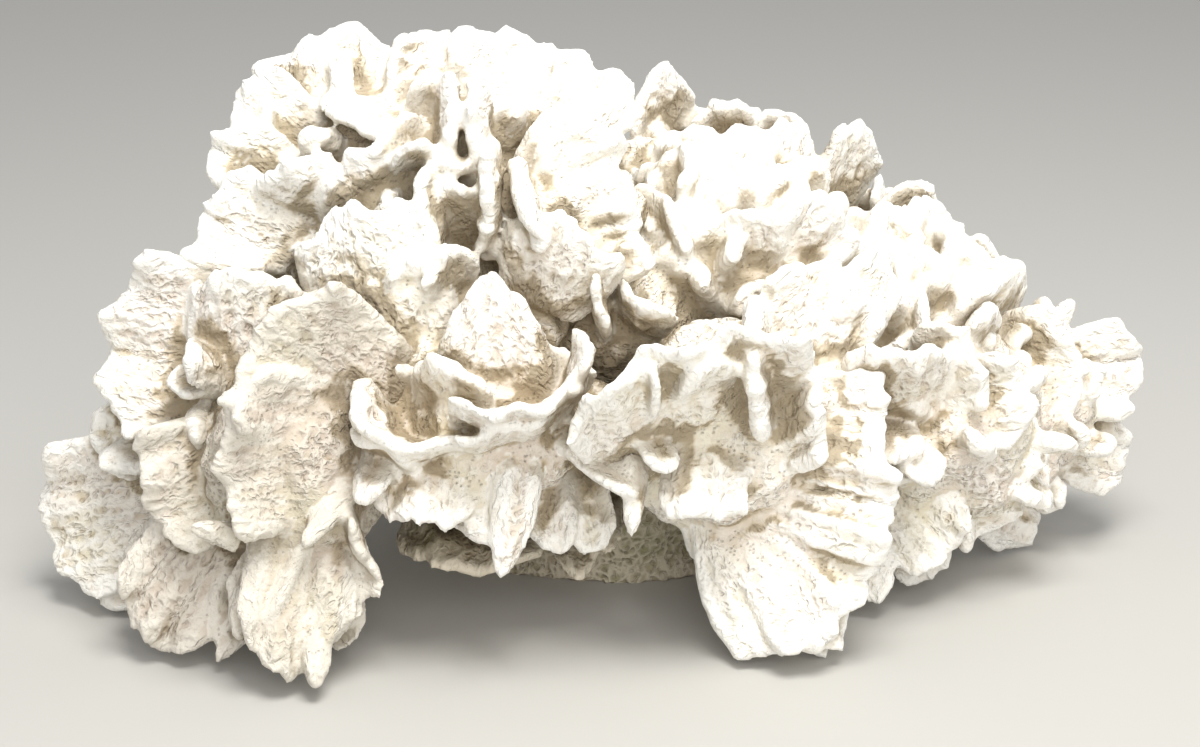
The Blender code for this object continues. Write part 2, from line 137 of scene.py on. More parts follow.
class Recipe:
    """A node tree that grows from expressions, for a material or for a mesh modifier."""

    def __init__(self, tree: bpy.types.NodeTree) -> None:
        """Start on an existing node tree."""
        self.tree = tree

    def node(self, kind: str, settings: dict[str, Any], inputs: dict[Union[str, int], Input]) -> bpy.types.Node:
        """Add a node.

        Args:
            kind: The node's type name.
            settings: Its properties, which are set first.
            inputs: A value or a link for each socket, by name or number.

        Returns:
            The new node.
        """
        made = self.tree.nodes.new(kind)
        for name, setting in settings.items():
            setattr(made, name, setting)
        for key, given in inputs.items():
            socket = made.inputs[key]
            if isinstance(given, Value):
                self.tree.links.new(given.socket, socket)
            else:
                socket.default_value = given
        return made

    def out(self, made: bpy.types.Node, name: Union[str, int] = 0) -> Value:
        """An output socket of a node, as a value."""
        return Value(self, made.outputs[name])

    def math(self, operation: str, first: Number, second: Number = 0.0) -> Value:
        """The result of a Math node."""
        return self.out(self.node("ShaderNodeMath", {"operation": operation}, {0: first, 1: second}))

    def ease(self, value: Value, low: float, high: float) -> Value:
        """0 under low, 1 over high, and smooth between."""
        return self.out(self.node(
            "ShaderNodeMapRange", {"interpolation_type": "SMOOTHSTEP"},
            {"Value": value, "From Min": low, "From Max": high}))

    def mix(self, share: Number, first: Input, second: Input) -> Value:
        """A colour between two colours."""
        made = self.node("ShaderNodeMix", {"data_type": "RGBA"}, {0: share, 6: first, 7: second})
        return self.out(made, 2)

    def stretch(self, vector: Value, by: Triple) -> Value:
        """A vector times another, part by part."""
        return self.out(self.node("ShaderNodeVectorMath", {"operation": "MULTIPLY"}, {0: vector, 1: by}))

    def wind(self, vector: Value, scale: float, depth: float) -> Value:
        """A vector pushed about by soft noise."""
        push = self.out(self.node("ShaderNodeTexNoise", {}, {"Vector": vector, "Scale": scale, "Detail": 1.0}), 1)
        centred = self.out(self.node("ShaderNodeVectorMath", {"operation": "SUBTRACT"}, {0: push, 1: (0.5, 0.5, 0.5)}))
        pushed = self.stretch(centred, (2 * depth, 2 * depth, 2 * depth))
        return self.out(self.node("ShaderNodeVectorMath", {"operation": "ADD"}, {0: vector, 1: pushed}))

    def noise(self, vector: Value, scale: float, detail: float = 2.0) -> Value:
        """Soft noise from 0 to 1."""
        return self.out(self.node("ShaderNodeTexNoise", {}, {"Vector": vector, "Scale": scale, "Detail": detail}))

    def cells(self, vector: Value, feature: str, randomness: float) -> Value:
        """Distance in a pattern of irregular cells of size 1."""
        made = self.node(
            "ShaderNodeTexVoronoi", {"feature": feature},
            {"Vector": vector, "Scale": 1.0, "Randomness": randomness})
        return self.out(made, "Distance")


# Skeleton pattern, shared by the skin's geometry and its finish


@dataclass(frozen=True)
class Net:
    """The fine net of a stony skeleton: small soft pits, and low winding ridges along the growth."""

    pit_across: float = 2.2
    pit_along: float = 3.0
    pit_low: float = 0.12
    pit_high: float = 0.55
    ridge_across: float = 4.4
    ridge_along: float = 9.0
    ridge_high: float = 0.34
    winding: float = 1.6
    winding_scale: float = 0.22

    def place(self, recipe: Recipe, grain: Value, across: float, along: float) -> Value:
        """The grain, wound about and shrunk to cells of size 1."""
        wound = recipe.wind(grain, self.winding_scale, self.winding)
        return recipe.stretch(wound, (1 / across, 1 / along, 1 / across))

    def walls(self, recipe: Recipe, grain: Value) -> Value:
        """Height between the pits.

        Args:
            recipe: The tree to add to.
            grain: Place on the skin in millimetres, with y along the growth.

        Returns:
            1 on a wall and 0 in a pit.
        """
        place = self.place(recipe, grain, self.pit_across, self.pit_along)
        return recipe.ease(recipe.cells(place, "F1", 1.0), self.pit_low, self.pit_high)

    def ridges(self, recipe: Recipe, grain: Value) -> Value:
        """Height of the winding ridges.

        Args:
            recipe: The tree to add to.
            grain: Place on the skin in millimetres, with y along the growth.

        Returns:
            1 on a ridge and 0 between.
        """
        place = self.place(recipe, grain, self.ridge_across, self.ridge_along)
        return 1 - recipe.ease(recipe.cells(place, "DISTANCE_TO_EDGE", 1.0), 0.0, self.ridge_high)


@dataclass(frozen=True)
class SkeletonFinish:
    """Bleached stony skeleton: white on lips and rib crests as a painted highlight, beige between, and painted shade in
    brown in the hollows.
    """

    slot: Slot
    # White, laid on the lips and rib crests as a painted highlight, and on the net's ridges.
    white: Colour
    face: Colour
    pit: Colour
    tint: Colour
    # Painted shade: the brown laid in the hollows, and the near black laid in the deepest ones.
    painted_shade: Colour
    deep_painted_shade: Colour
    look: str = "plain"
    rough: float = 0.9
    bump: float = 0.7
    net: Net = Net()

    @property
    def name(self) -> str:
        """Name of the material, which differs from that of the solids' own."""
        return "_".join(("grown", self.look, self.slot.value))

    def material(self) -> bpy.types.Material:
        """Build the finish.

        Returns:
            The material.
        """
        material = bpy.data.materials.new(self.name)
        material.use_nodes = True
        recipe = Recipe(material.node_tree)
        shader = material.node_tree.nodes["Principled BSDF"]
        grain = recipe.out(recipe.node("ShaderNodeAttribute", {"attribute_name": Note.GRAIN.value}, {}), "Vector")
        rim = self.note(recipe, Note.RIM)
        rib = self.note(recipe, Note.RIB)
        hollow = self.note(recipe, Note.HOLLOW)
        seam = self.note(recipe, Note.SEAM)
        place = recipe.out(recipe.node("ShaderNodeTexCoord", {}, {}), "Object")
        walls = self.net.walls(recipe, grain)
        ridges = self.net.ridges(recipe, grain)
        patches = recipe.ease(recipe.noise(place, 70.0, 3.0), 0.36, 0.62)
        grit = recipe.noise(place, 1100.0, 2.0)
        blotch = recipe.ease(recipe.noise(place, 22.0, 2.0), 0.42, 0.66)
        # Painted highlight: the lips and rib crests turn white and lose most of their pits.
        crest = recipe.ease(rim + 0.6 * rib + 0.3 * recipe.noise(place, 160.0, 2.0), 0.15, 1.0)
        pits = (1 - walls) * (1 - 0.85 * crest) * (0.35 + 0.65 * patches) * (1 - seam)
        colour = recipe.mix(blotch, self.face, self.tint)
        colour = recipe.mix((1 - ridges) * 0.25, recipe.mix(crest, colour, self.white), colour)
        colour = recipe.mix(ridges * 0.6 * (1 - crest) * (1 - seam), colour, self.white)
        colour = recipe.mix(pits * 0.42, colour, self.pit)
        # Painted shade: the closed-in parts of the skin turn brown and the deepest hollows near black, less so on the
        # lips.
        shaded = recipe.ease(hollow, 0.45, 1.05)
        colour = recipe.mix(shaded * (1 - 0.7 * rim) * 0.75, colour, self.painted_shade)
        colour = recipe.mix(recipe.ease(hollow, 0.8, 1.3) * (1 - 0.8 * rim), colour, self.deep_painted_shade)
        colour = recipe.mix(recipe.ease(grit, 0.36, 0.26) * 0.45, colour, self.pit)
        height = (walls * (1 - 0.7 * crest) + 0.8 * ridges) * (1 - seam) + 0.45 * grit
        bump = recipe.node("ShaderNodeBump", {}, {"Strength": 1.0, "Distance": self.bump * MM, "Height": height})
        recipe.tree.links.new(colour.socket, shader.inputs["Base Color"])
        recipe.tree.links.new(bump.outputs["Normal"], shader.inputs["Normal"])
        shader.inputs["Roughness"].default_value = self.rough
        shader.inputs["Specular IOR Level"].default_value = 0.25
        return material

    @staticmethod
    def note(recipe: Recipe, note: Note) -> Value:
        """A number that the skin remembers."""
        return recipe.out(recipe.node("ShaderNodeAttribute", {"attribute_name": note.value}, {}), "Fac")


BLEACHED = SkeletonFinish(
    slot=Slot.BLEACHED, white=(0.93, 0.91, 0.85, 1), face=(0.72, 0.635, 0.54, 1), pit=(0.46, 0.37, 0.285, 1),
    tint=(0.74, 0.68, 0.53, 1), painted_shade=(0.45, 0.35, 0.20, 1), deep_painted_shade=(0.10, 0.07, 0.035, 1))
# Painted light: a lighter copy of the finish for the forks that stand high in the light.
PAINTED_LIT = replace(
    BLEACHED, look="painted_lit", white=(0.97, 0.955, 0.90, 1), face=(0.82, 0.745, 0.65, 1),
    pit=(0.56, 0.46, 0.36, 1), tint=(0.84, 0.79, 0.66, 1), painted_shade=(0.52, 0.42, 0.26, 1))
# Painted shade: a darker copy of the finish for the low plates at the front left.
PAINTED_SHADED = replace(
    BLEACHED, look="painted_shaded", white=(0.72, 0.68, 0.60, 1), face=(0.54, 0.465, 0.385, 1),
    pit=(0.38, 0.30, 0.235, 1), tint=(0.57, 0.52, 0.40, 1), painted_shade=(0.35, 0.28, 0.18, 1))
# Painted shade: a much darker copy of the finish for the trunk, which stands in the shade under the colony.
SHADED = SkeletonFinish(
    slot=Slot.SHADED, white=(0.74, 0.67, 0.54, 1), face=(0.50, 0.42, 0.30, 1), pit=(0.24, 0.18, 0.12, 1),
    tint=(0.36, 0.34, 0.20, 1), painted_shade=(0.22, 0.17, 0.10, 1), deep_painted_shade=(0.07, 0.05, 0.03, 1))
WORM_LIME = SkeletonFinish(
    slot=Slot.WORM, white=(0.80, 0.74, 0.62, 1), face=(0.74, 0.66, 0.52, 1), pit=(0.62, 0.52, 0.38, 1),
    tint=(0.66, 0.58, 0.42, 1), painted_shade=(0.55, 0.46, 0.32, 1), deep_painted_shade=(0.40, 0.30, 0.18, 1))


# Shapes on fine grids


@dataclass
class Patch:
    """The points and faces of one closed shape, and what its skin remembers at each point."""

    points: np.ndarray
    faces: np.ndarray
    grain: np.ndarray
    across: np.ndarray
    along: np.ndarray
    edge: np.ndarray
    rib: np.ndarray


@dataclass(frozen=True)
class Swell:
    """Smooth uneven swelling, made of a few waves in chance directions."""

    seed: int
    pitch: float
    depth: float
    waves: int = 7

    def at(self, points: np.ndarray) -> np.ndarray:
        """The swelling at each point, in millimetres.

        Args:
            points: Places in millimetres, one row each.

        Returns:
            One number a point, about -depth to depth.
        """
        rng = np.random.default_rng(self.seed)
        ways = rng.normal(size=(self.waves, 3))
        ways /= np.linalg.norm(ways, axis=1, keepdims=True)
        pitches = self.pitch * rng.uniform(0.7, 1.4, self.waves)
        shifts = rng.uniform(0, 2 * math.pi, self.waves)
        turns = points @ (ways / pitches[:, None]).T * 2 * math.pi + shifts
        return np.sin(turns).sum(-1) * self.depth / math.sqrt(self.waves)


def sheet_faces(rows: int, columns: int, start: int) -> np.ndarray:
    """The quads of a grid whose first point has the number start."""
    index = np.arange(rows * columns).reshape(rows, columns) + start
    return np.stack([index[:-1, :-1], index[:-1, 1:], index[1:, 1:], index[1:, :-1]], -1).reshape(-1, 4)


def ring_faces(rows: int, columns: int) -> np.ndarray:
    """The quads that join the outer points of two grids, one after the other."""
    index = np.arange(rows * columns).reshape(rows, columns)
    ring = np.concatenate([index[0, :-1], index[:-1, -1], index[-1, :0:-1], index[:0:-1, 0]])
    after = np.roll(ring, -1)
    return np.stack([ring, after, after + index.size, ring + index.size], -1)


def unit(vectors: np.ndarray) -> np.ndarray:
    """The same directions with length 1."""
    return vectors / np.maximum(np.linalg.norm(vectors, axis=-1, keepdims=True), 1e-9)


@dataclass(frozen=True)
class Plate:
    """A leaf of the colony: it grows from root to tip and its hollow side looks along face."""

    root: Triple
    tip: Triple
    face: Triple
    width: float
    foot: float = 0.45
    cup: float = 0.0
    bow: float = 0.0
    curl: float = 0.0
    ruffle: float = 0.0
    waves: float = 2.0
    phase: float = 0.0
    crown: float = 0.3
    thick: float = 4.6
    rib: float = 0.4

    STEP: ClassVar[float] = 1.5
    ROOT_EXTRA: ClassVar[float] = 2.0
    RIB_PITCH: ClassVar[float] = 8.5
    KNOB: ClassVar[float] = 0.8
    TAPER: ClassVar[float] = 0.9
    LEAST: ClassVar[float] = 1.25
    SWAY: ClassVar[Swell] = Swell(300, 25.0, 2.0)
    LIP_WAVES: ClassVar[tuple[Swell, ...]] = (Swell(310, 17.0, 2.4), Swell(320, 8.0, 1.3), Swell(330, 4.6, 0.8))

    def axes(self) -> tuple[float, np.ndarray, np.ndarray, np.ndarray]:
        """Length, and the unit directions along the plate, across it and out of its hollow side."""
        span = np.subtract(self.tip, self.root)
        length = float(np.linalg.norm(span))
        along = span / length
        out = np.array(self.face, float)
        out = unit(out - along * out.dot(along))
        return length, along, np.cross(along, out), out

    def middle(self, u: np.ndarray, v: np.ndarray, rib: np.ndarray, number: int) -> np.ndarray:
        """Middle of the sheet.

        Args:
            u: From -1 to 1 across.
            v: From 0 at the root to 1 at the lip.
            rib: 0 in a groove to 1 on a rib.
            number: The plate's place in the fork, which sets its chance swellings.

        Returns:
            The places, in millimetres.
        """
        length, along, side, out = self.axes()
        half = self.width / 2 * (self.foot + (1 - self.foot) * np.sin(math.pi / 2 * v ** 0.8))
        reach = v * (1 - self.crown * u * u) * length + self.KNOB * (rib - 1) * v ** 4
        lift = self.cup * u * u * v + self.bow * 4 * v * (1 - v) + self.curl * v ** 3
        lift = lift + self.ruffle * v * v * np.sin(math.pi * self.waves * u + self.phase)
        line = np.stack([u * self.width / 2, 31.0 * number + 0.2 * v * length, self.width + 0 * u], -1)
        share = min(1.0, self.width / 30)
        lift = lift + self.SWAY.at(line) * share * v ** 2
        for wave in self.LIP_WAVES:
            reach = reach + wave.at(line) * share * v ** 3
        start = np.array(self.root, float)
        return start + reach[..., None] * along + (half * u)[..., None] * side + lift[..., None] * out

    def patch(self, number: int) -> Patch:
        """The closed plate on a fine grid.

        Args:
            number: Its place in the fork, which sets its chance swellings.

        Returns:
            The patch.
        """
        length = self.axes()[0]
        columns = max(7, round(self.width / self.STEP))
        rows = max(7, round(length / self.STEP))
        u, v = np.meshgrid(np.linspace(-1, 1, columns), np.linspace(0, 1, rows))
        ribs = max(1, round(self.width / self.RIB_PITCH))
        bend = 0.25 * np.sin(3 * v + number)
        rib = (0.5 - 0.5 * np.cos(math.pi * (ribs * (u + 1) + bend))) ** 1.4
        middle = self.middle(u, v, rib, number)
        across = unit(np.gradient(middle, axis=1))
        along = unit(np.gradient(middle, axis=0))
        normal = unit(np.cross(along, across))
        half = self.width / 2 * (self.foot + (1 - self.foot) * np.sin(math.pi / 2 * v ** 0.8))
        edge = np.minimum((1 - v) * length, (1 - np.abs(u)) * half + 0.4)
        thick = self.thick + self.ROOT_EXTRA * (1 - v)
        round_off = np.sqrt(1 - (1 - np.minimum(edge / (0.6 * self.thick), 1)) ** 2)
        relief = self.rib * rib * np.clip((v - 0.1) * 2.5, 0, 1) - self.TAPER * np.clip(1 - edge / 9, 0, 1)
        sheets = []
        for sign, seed in ((1, 1), (-1, 2)):
            uneven = Swell(seed * 1000 + number, 12.0, 0.6).at(middle)
            body = np.maximum(thick / 2 + relief + uneven, self.LEAST)
            sheets.append(middle + normal * (sign * np.maximum(body * round_off, 0.3))[..., None])
        points = np.concatenate([sheet.reshape(-1, 3) for sheet in sheets])
        faces = np.concatenate([
            sheet_faces(rows, columns, 0), sheet_faces(rows, columns, rows * columns), ring_faces(rows, columns)])
        place = np.stack([u * self.width / 2, v * length, np.full_like(u, 40.0 * number)], -1)
        return Patch(
            points, faces, twice(place), twice(across), twice(along), twice(edge[..., None])[:, 0],
            twice((rib * np.clip(v * 2.5 - 0.2, 0, 1))[..., None])[:, 0])


def twice(values: np.ndarray) -> np.ndarray:
    """The rows of a grid, once for each of the two sheets of a plate."""
    rows = values.reshape(-1, values.shape[-1])
    return np.concatenate([rows, rows])


@dataclass(frozen=True)
class Lump:
    """A rounded mass of grown-together skeleton, with its centre and its three half sizes."""

    centre: Triple
    radii: Triple
    relief: float = 2.6
    shrink: float = 0.94

    STEP: ClassVar[float] = 2.4

    def patch(self, number: int) -> Patch:
        """The closed lump as six bulged squares with an uneven skin.

        Args:
            number: Its place in the fork, which sets its chance swellings.

        Returns:
            The patch.
        """
        count = max(9, round(1.6 * max(self.radii) / self.STEP))
        line = np.tan(np.linspace(-math.pi / 4, math.pi / 4, count))
        a, b = np.meshgrid(line, line)
        one = np.ones_like(a)
        sides = [(a, b, one), (a, b, -one), (a, one, b), (a, -one, b), (one, a, b), (-one, a, b)]
        out = unit(np.concatenate([np.stack(side, -1).reshape(-1, 3) for side in sides]))
        skin = np.array(self.centre) + out * np.array(self.radii) * self.shrink
        depth = Swell(number + 70, 26.0, self.relief).at(skin) + Swell(number + 90, 9.0, 0.35 * self.relief).at(skin)
        points = skin + out * depth[:, None]
        faces = np.concatenate([sheet_faces(count, count, k * count * count) for k in range(6)])
        across = unit(np.cross(np.array([0.0, 0.0, 1.0]), out) + 1e-6)
        along = np.cross(out, across)
        far = np.full(len(points), 60.0)
        return Patch(points, faces, points + 37.0 * number, across, along, far, np.zeros(len(points)))


@dataclass(frozen=True)
class Stump:
    """The drum under the colony, with an uneven outline, cut flat at the bottom."""

    half_length: float = 84.0
    half_depth: float = 46.0
    height: float = 78.0
    flare: float = 1.15
    turns: int = 220
    levels: int = 44

    def patch(self, number: int) -> Patch:
        """The closed drum.

        Args:
            number: Its place in the fork, which sets its chance swellings.

        Returns:
            The patch.
        """
        turn, level = np.meshgrid(np.linspace(0, 2 * math.pi, self.turns), np.linspace(0, 1, self.levels))
        scale = np.interp(level, (0, 0.4, 1), (1.0, 0.94, self.flare))
        uneven = scale * (1 + 0.05 * np.sin(3 * turn) + 0.04 * np.cos(5 * turn))
        wall = np.stack([
            self.half_length * uneven * np.cos(turn), self.half_depth * uneven * np.sin(turn), level * self.height], -1)
        flat = wall.reshape(-1, 3)
        depth = Swell(number + 5, 30.0, 2.5).at(flat) + Swell(number + 6, 10.0, 1.0).at(flat)
        out = unit(flat * np.array([1, 3.0, 0]))
        ease = np.clip(flat[:, 2] / 12, 0, 1)
        flat = flat + out * (np.minimum(depth, 1.0) * ease - 0.4)[:, None]
        rows = flat.reshape(self.levels, self.turns, 3)
        caps = [np.linspace(ring, ring.mean(0), 24) for ring in (rows[0], rows[-1])]
        points = np.concatenate([flat] + [cap.reshape(-1, 3) for cap in caps])
        size = self.levels * self.turns
        faces = np.concatenate([
            sheet_faces(self.levels, self.turns, 0), sheet_faces(24, self.turns, size),
            sheet_faces(24, self.turns, size + 24 * self.turns)])
        around = unit(np.stack([-points[:, 1], points[:, 0], np.zeros(len(points))], -1) + 1e-6)
        upward = np.tile(np.array([0.0, 0.0, 1.0]), (len(points), 1))
        far = np.full(len(points), 60.0)
        return Patch(points, faces, points.copy(), around, upward, far, np.zeros(len(points)))


Shape = Union[Plate, Lump, Stump]


def dress(lump: Lump, rng: random.Random, turns: Iterable[float], rings: Iterable[tuple[float, int]],
          reach: float, width: float, thick: float = 4.6) -> list[Plate]:
    """Shells over a lump, their faces outward.

    Args:
        lump: The mass that carries them.
        rng: Source of chance.
        turns: Degrees round Z.
        rings: Degrees above level, and 1 for shells that point up or -1 for down.
        reach: Length of a shell.
        width: Width of a shell.
        thick: Thickness of its lip.

    Returns:
        The shells.
    """
    shells = []
    for tilt, way in rings:
        for turn in turns:
            swing = math.radians(turn + rng.uniform(-7, 7))
            rise = math.radians(tilt + rng.uniform(-6, 6))
            out = Vector((math.cos(swing) * math.cos(rise), math.sin(swing) * math.cos(rise), math.sin(rise)))
            level = Vector((-math.sin(swing), math.cos(swing), 0))
            lean = rng.uniform(-0.6, 0.6)
            run = (out.cross(level) * math.cos(lean) * way + level * math.sin(lean)) * reach
            skin = Vector([c + r * o for c, r, o in zip(lump.centre, lump.radii, out)])
            root = skin - out * 14 - run * 0.5
            tip = skin + out * reach * rng.uniform(0.3, 0.6) + run * rng.uniform(0.7, 0.95)
            face = out + level * rng.uniform(-0.5, 0.5)
            shells.append(Plate(
                tuple(root), tuple(tip), tuple(face), width * rng.uniform(0.85, 1.15), foot=0.6,
                cup=rng.uniform(3, 8), curl=rng.uniform(-2, 4), ruffle=2.0,
                phase=rng.uniform(0, 6), thick=thick))
    return shells


def frills(lump: Lump, rng: random.Random, count: int, reach: float, width: float) -> list[Plate]:
    """Small lobes all over a lump, between its large plates.

    Args:
        lump: The mass that carries them.
        rng: Source of chance.
        count: How many.
        reach: How far they stand out.
        width: Width of a lobe.

    Returns:
        The lobes.
    """
    lobes = []
    for i in range(count):
        height = 1 - 2 * (i + 0.5) / count
        swing = i * math.pi * (3 - math.sqrt(5)) + rng.uniform(-0.3, 0.3)
        flat = math.sqrt(1 - height * height)
        out = Vector((math.cos(swing) * flat, math.sin(swing) * flat, height))
        skin = Vector([c + r * o for c, r, o in zip(lump.centre, lump.radii, out)])
        lean = Vector((rng.uniform(-1, 1), rng.uniform(-1, 1), rng.uniform(-0.2, 1.2)))
        tip = skin + (out + lean * 0.6).normalized() * reach * rng.uniform(0.6, 1.1)
        face = Vector((rng.uniform(-1, 1), rng.uniform(-1, 1), rng.uniform(-1, 1)))
        lobes.append(Plate(
            tuple(skin - out * 8), tuple(tip), tuple(face), width * rng.uniform(0.7, 1.2), foot=0.7,
            cup=rng.uniform(1, 4), ruffle=1.0, phase=rng.uniform(0, 6), crown=0.45, thick=rng.uniform(6, 8)))
    return lobes


# Forks of the colony


@dataclass
class Fork(ABC):
    """One fork of the colony: its shapes, fused into one skin."""

    node: ClassVar[str]
    finish: ClassVar[SkeletonFinish] = BLEACHED
    voxel: float = 1.5
    quick_voxel: float = 2.4
    net_depth: float = 0.55

    @abstractmethod
    def shapes(self) -> list[Shape]:
        """The fork's plates and lumps."""

    def build(self) -> "Skin":
        """Fuse the shapes.

        Returns:
            The fork's skin.
        """
        patches = [shape.patch(number) for number, shape in enumerate(self.shapes(), 1)]
        size = self.voxel
        return Skin(self.node, patches, size, self.finish, self.net_depth)


class Skin:
    """The fused outer skin of a fork, with what it remembers for its finish."""

    MELTS: ClassVar[int] = 5
    RIM_WIDTH: ClassVar[float] = 11.0
    RIM_SPREAD: ClassVar[Swell] = Swell(77, 16.0, 0.35)

    def __init__(self, node: str, patches: Sequence[Patch], voxel: float, finish: SkeletonFinish,
                 net_depth: float) -> None:
        """Join the patches and fuse them.

        Args:
            node: The solid that the skin stands for.
            patches: The closed shapes, which may run through each other.
            voxel: Size of the skin's cells, in millimetres.
            finish: Its finish.
            net_depth: Height of the net's ridges in the mesh, in millimetres.
        """
        self.node = node
        self.finish = finish
        self.net_depth = net_depth
        self.patches = patches
        points = np.concatenate([patch.points for patch in patches])
        starts = np.cumsum([0] + [len(patch.points) for patch in patches[:-1]])
        faces = np.concatenate([patch.faces + start for patch, start in zip(patches, starts)])
        data = bpy.data.meshes.new("raw_" + node)
        data.from_pydata((points * MM).tolist(), [], faces.tolist())
        self.piece = bpy.data.objects.new("coral_" + node, data)
        bpy.context.scene.collection.objects.link(self.piece)
        fuse = self.piece.modifiers.new("Fuse", "REMESH")
        fuse.mode = "VOXEL"
        fuse.voxel_size = voxel * MM
        fuse.use_smooth_shade = True
        self.apply()

    def apply(self) -> None:
        """Keep the result of the piece's modifiers as its mesh."""
        graph = bpy.context.evaluated_depsgraph_get()
        old = self.piece.data
        made = bpy.data.meshes.new_from_object(self.piece.evaluated_get(graph))
        self.piece.modifiers.clear()
        self.piece.data = made
        made.name = self.piece.name
        bpy.data.meshes.remove(old)

    def places(self) -> np.ndarray:
        """The skin's points in millimetres."""
        flat = np.empty(len(self.piece.data.vertices) * 3, np.float32)
        self.piece.data.vertices.foreach_get("co", flat)
        return flat.reshape(-1, 3).astype(float) / MM

    def normals(self) -> np.ndarray:
        """The skin's directions, square to it, one a point."""
        flat = np.empty(len(self.piece.data.vertices) * 3, np.float32)
        self.piece.data.vertex_normals.foreach_get("vector", flat)
        return flat.reshape(-1, 3).astype(float)

    def remember(self, note: Note, values: np.ndarray) -> None:
        """Store one number or one vector a point."""
        kind, field_name = ("FLOAT", "value") if values.ndim == 1 else ("FLOAT_VECTOR", "vector")
        layer = self.piece.data.attributes.new(note.value, kind, "POINT")
        layer.data.foreach_set(field_name, values.astype(np.float32).ravel())

    def trace(self) -> None:
        """Carry grain, lip and ribs over from the patches to the fused skin."""
        points = np.concatenate([patch.points for patch in self.patches])
        tree = KDTree(len(points))
        for number, point in enumerate(points.tolist()):
            tree.insert(point, number)
        tree.balance()
        places = self.places()
        near = np.array([tree.find(place)[1] for place in places.tolist()])
        grain = np.concatenate([patch.grain for patch in self.patches])[near]
        across = np.concatenate([patch.across for patch in self.patches])[near]
        along = np.concatenate([patch.along for patch in self.patches])[near]
        shift = places - points[near]
        grain[:, 0] += (shift * across).sum(1)
        grain[:, 1] += (shift * along).sum(1)
        edge = np.concatenate([patch.edge for patch in self.patches])[near]
        owner = np.repeat(np.arange(len(self.patches)), [len(patch.points) for patch in self.patches])[near]
        width = self.RIM_WIDTH * (1 + self.RIM_SPREAD.at(places))
        self.remember(Note.GRAIN, grain)
        seam = self.seams(owner)
        self.remember(Note.SEAM, seam)
        self.melt(places, seam)
        self.remember(Note.RIM, np.clip(1 - edge / width, 0, 1) ** 1.3)
        self.remember(Note.RIB, np.concatenate([patch.rib for patch in self.patches])[near])

    def seams(self, owner: np.ndarray) -> np.ndarray:
        """Where the skin passes from one shape to the next.

        Args:
            owner: Number of the shape that each point lies on.

        Returns:
            1 on a seam, falling to 0 a few points away.
        """
        flat = np.empty(len(self.piece.data.edges) * 2, np.int32)
        self.piece.data.edges.foreach_get("vertices", flat)
        first, second = flat.reshape(-1, 2).T
        seam = np.zeros(len(owner))
        parted = owner[first] != owner[second]
        seam[first[parted]] = 1.0
        seam[second[parted]] = 1.0
        for _ in range(3):
            spread = seam.copy()
            np.maximum.at(spread, first, 0.7 * seam[second])
            np.maximum.at(spread, second, 0.7 * seam[first])
            seam = spread
        return seam

    def melt(self, places: np.ndarray, seam: np.ndarray) -> None:
        """Round off the creases between shapes, as living skeleton grows over them.

        Args:
            places: The skin's points in millimetres.
            seam: 1 on a crease and 0 away from it.
        """
        flat = np.empty(len(self.piece.data.edges) * 2, np.int32)
        self.piece.data.edges.foreach_get("vertices", flat)
        first, second = flat.reshape(-1, 2).T
        count = len(places)
        degree = np.bincount(first, minlength=count) + np.bincount(second, minlength=count)
        for _ in range(self.MELTS):
            total = np.stack([
                np.bincount(first, places[second, axis], count) + np.bincount(second, places[first, axis], count)
                for axis in range(3)], -1)
            places = places + (total / degree[:, None] - places) * (0.8 * seam)[:, None]
        self.piece.data.vertices.foreach_set("co", (places * MM).astype(np.float32).ravel())
        self.piece.data.update()

    def etch(self) -> None:
        """Raise the ridges of the net in the mesh itself."""
        tree = bpy.data.node_groups.new("net_" + self.node, "GeometryNodeTree")
        tree.interface.new_socket("Geometry", in_out="INPUT", socket_type="NodeSocketGeometry")
        tree.interface.new_socket("Geometry", in_out="OUTPUT", socket_type="NodeSocketGeometry")
        recipe = Recipe(tree)
        given = recipe.node("NodeGroupInput", {}, {})
        grain = recipe.out(recipe.node(
            "GeometryNodeInputNamedAttribute", {"data_type": "FLOAT_VECTOR"}, {"Name": Note.GRAIN.value}))
        rim = recipe.out(recipe.node(
            "GeometryNodeInputNamedAttribute", {"data_type": "FLOAT"}, {"Name": Note.RIM.value}))
        normal = recipe.out(recipe.node("GeometryNodeInputNormal", {}, {}))
        seam = recipe.out(recipe.node(
            "GeometryNodeInputNamedAttribute", {"data_type": "FLOAT"}, {"Name": Note.SEAM.value}))
        ridges = self.finish.net.ridges(recipe, grain)
        height = (ridges - 0.4) * (self.net_depth * MM) * (1 - 0.3 * rim) * (1 - seam)
        offset = recipe.out(recipe.node(
            "ShaderNodeVectorMath", {"operation": "SCALE"}, {0: normal, "Scale": height}))
        moved = recipe.node(
            "GeometryNodeSetPosition", {}, {"Geometry": recipe.out(given, "Geometry"), "Offset": offset})
        recipe.node("NodeGroupOutput", {}, {"Geometry": recipe.out(moved)})
        step = self.piece.modifiers.new("Net", "NODES")
        step.node_group = tree
        self.apply()
        bpy.data.node_groups.remove(tree)

    def hold_in(self, low: Vector, high: Vector) -> None:
        """Keep every point inside the colony's box, and on or over the floor."""
        places = np.clip(self.places() * MM, np.array(low), np.array(high))
        self.piece.data.vertices.foreach_set("co", places.astype(np.float32).ravel())
        self.piece.data.update()

    def attach(self) -> None:
        """Dress the piece and tie it to the model."""
        data = self.piece.data
        data.materials.clear()
        material = bpy.data.materials.get(self.finish.name) or self.finish.material()
        data.materials.append(material)
        data.polygons.foreach_set("use_smooth", np.ones(len(data.polygons), bool))
        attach(self.piece, BODY)
        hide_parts(self.node)


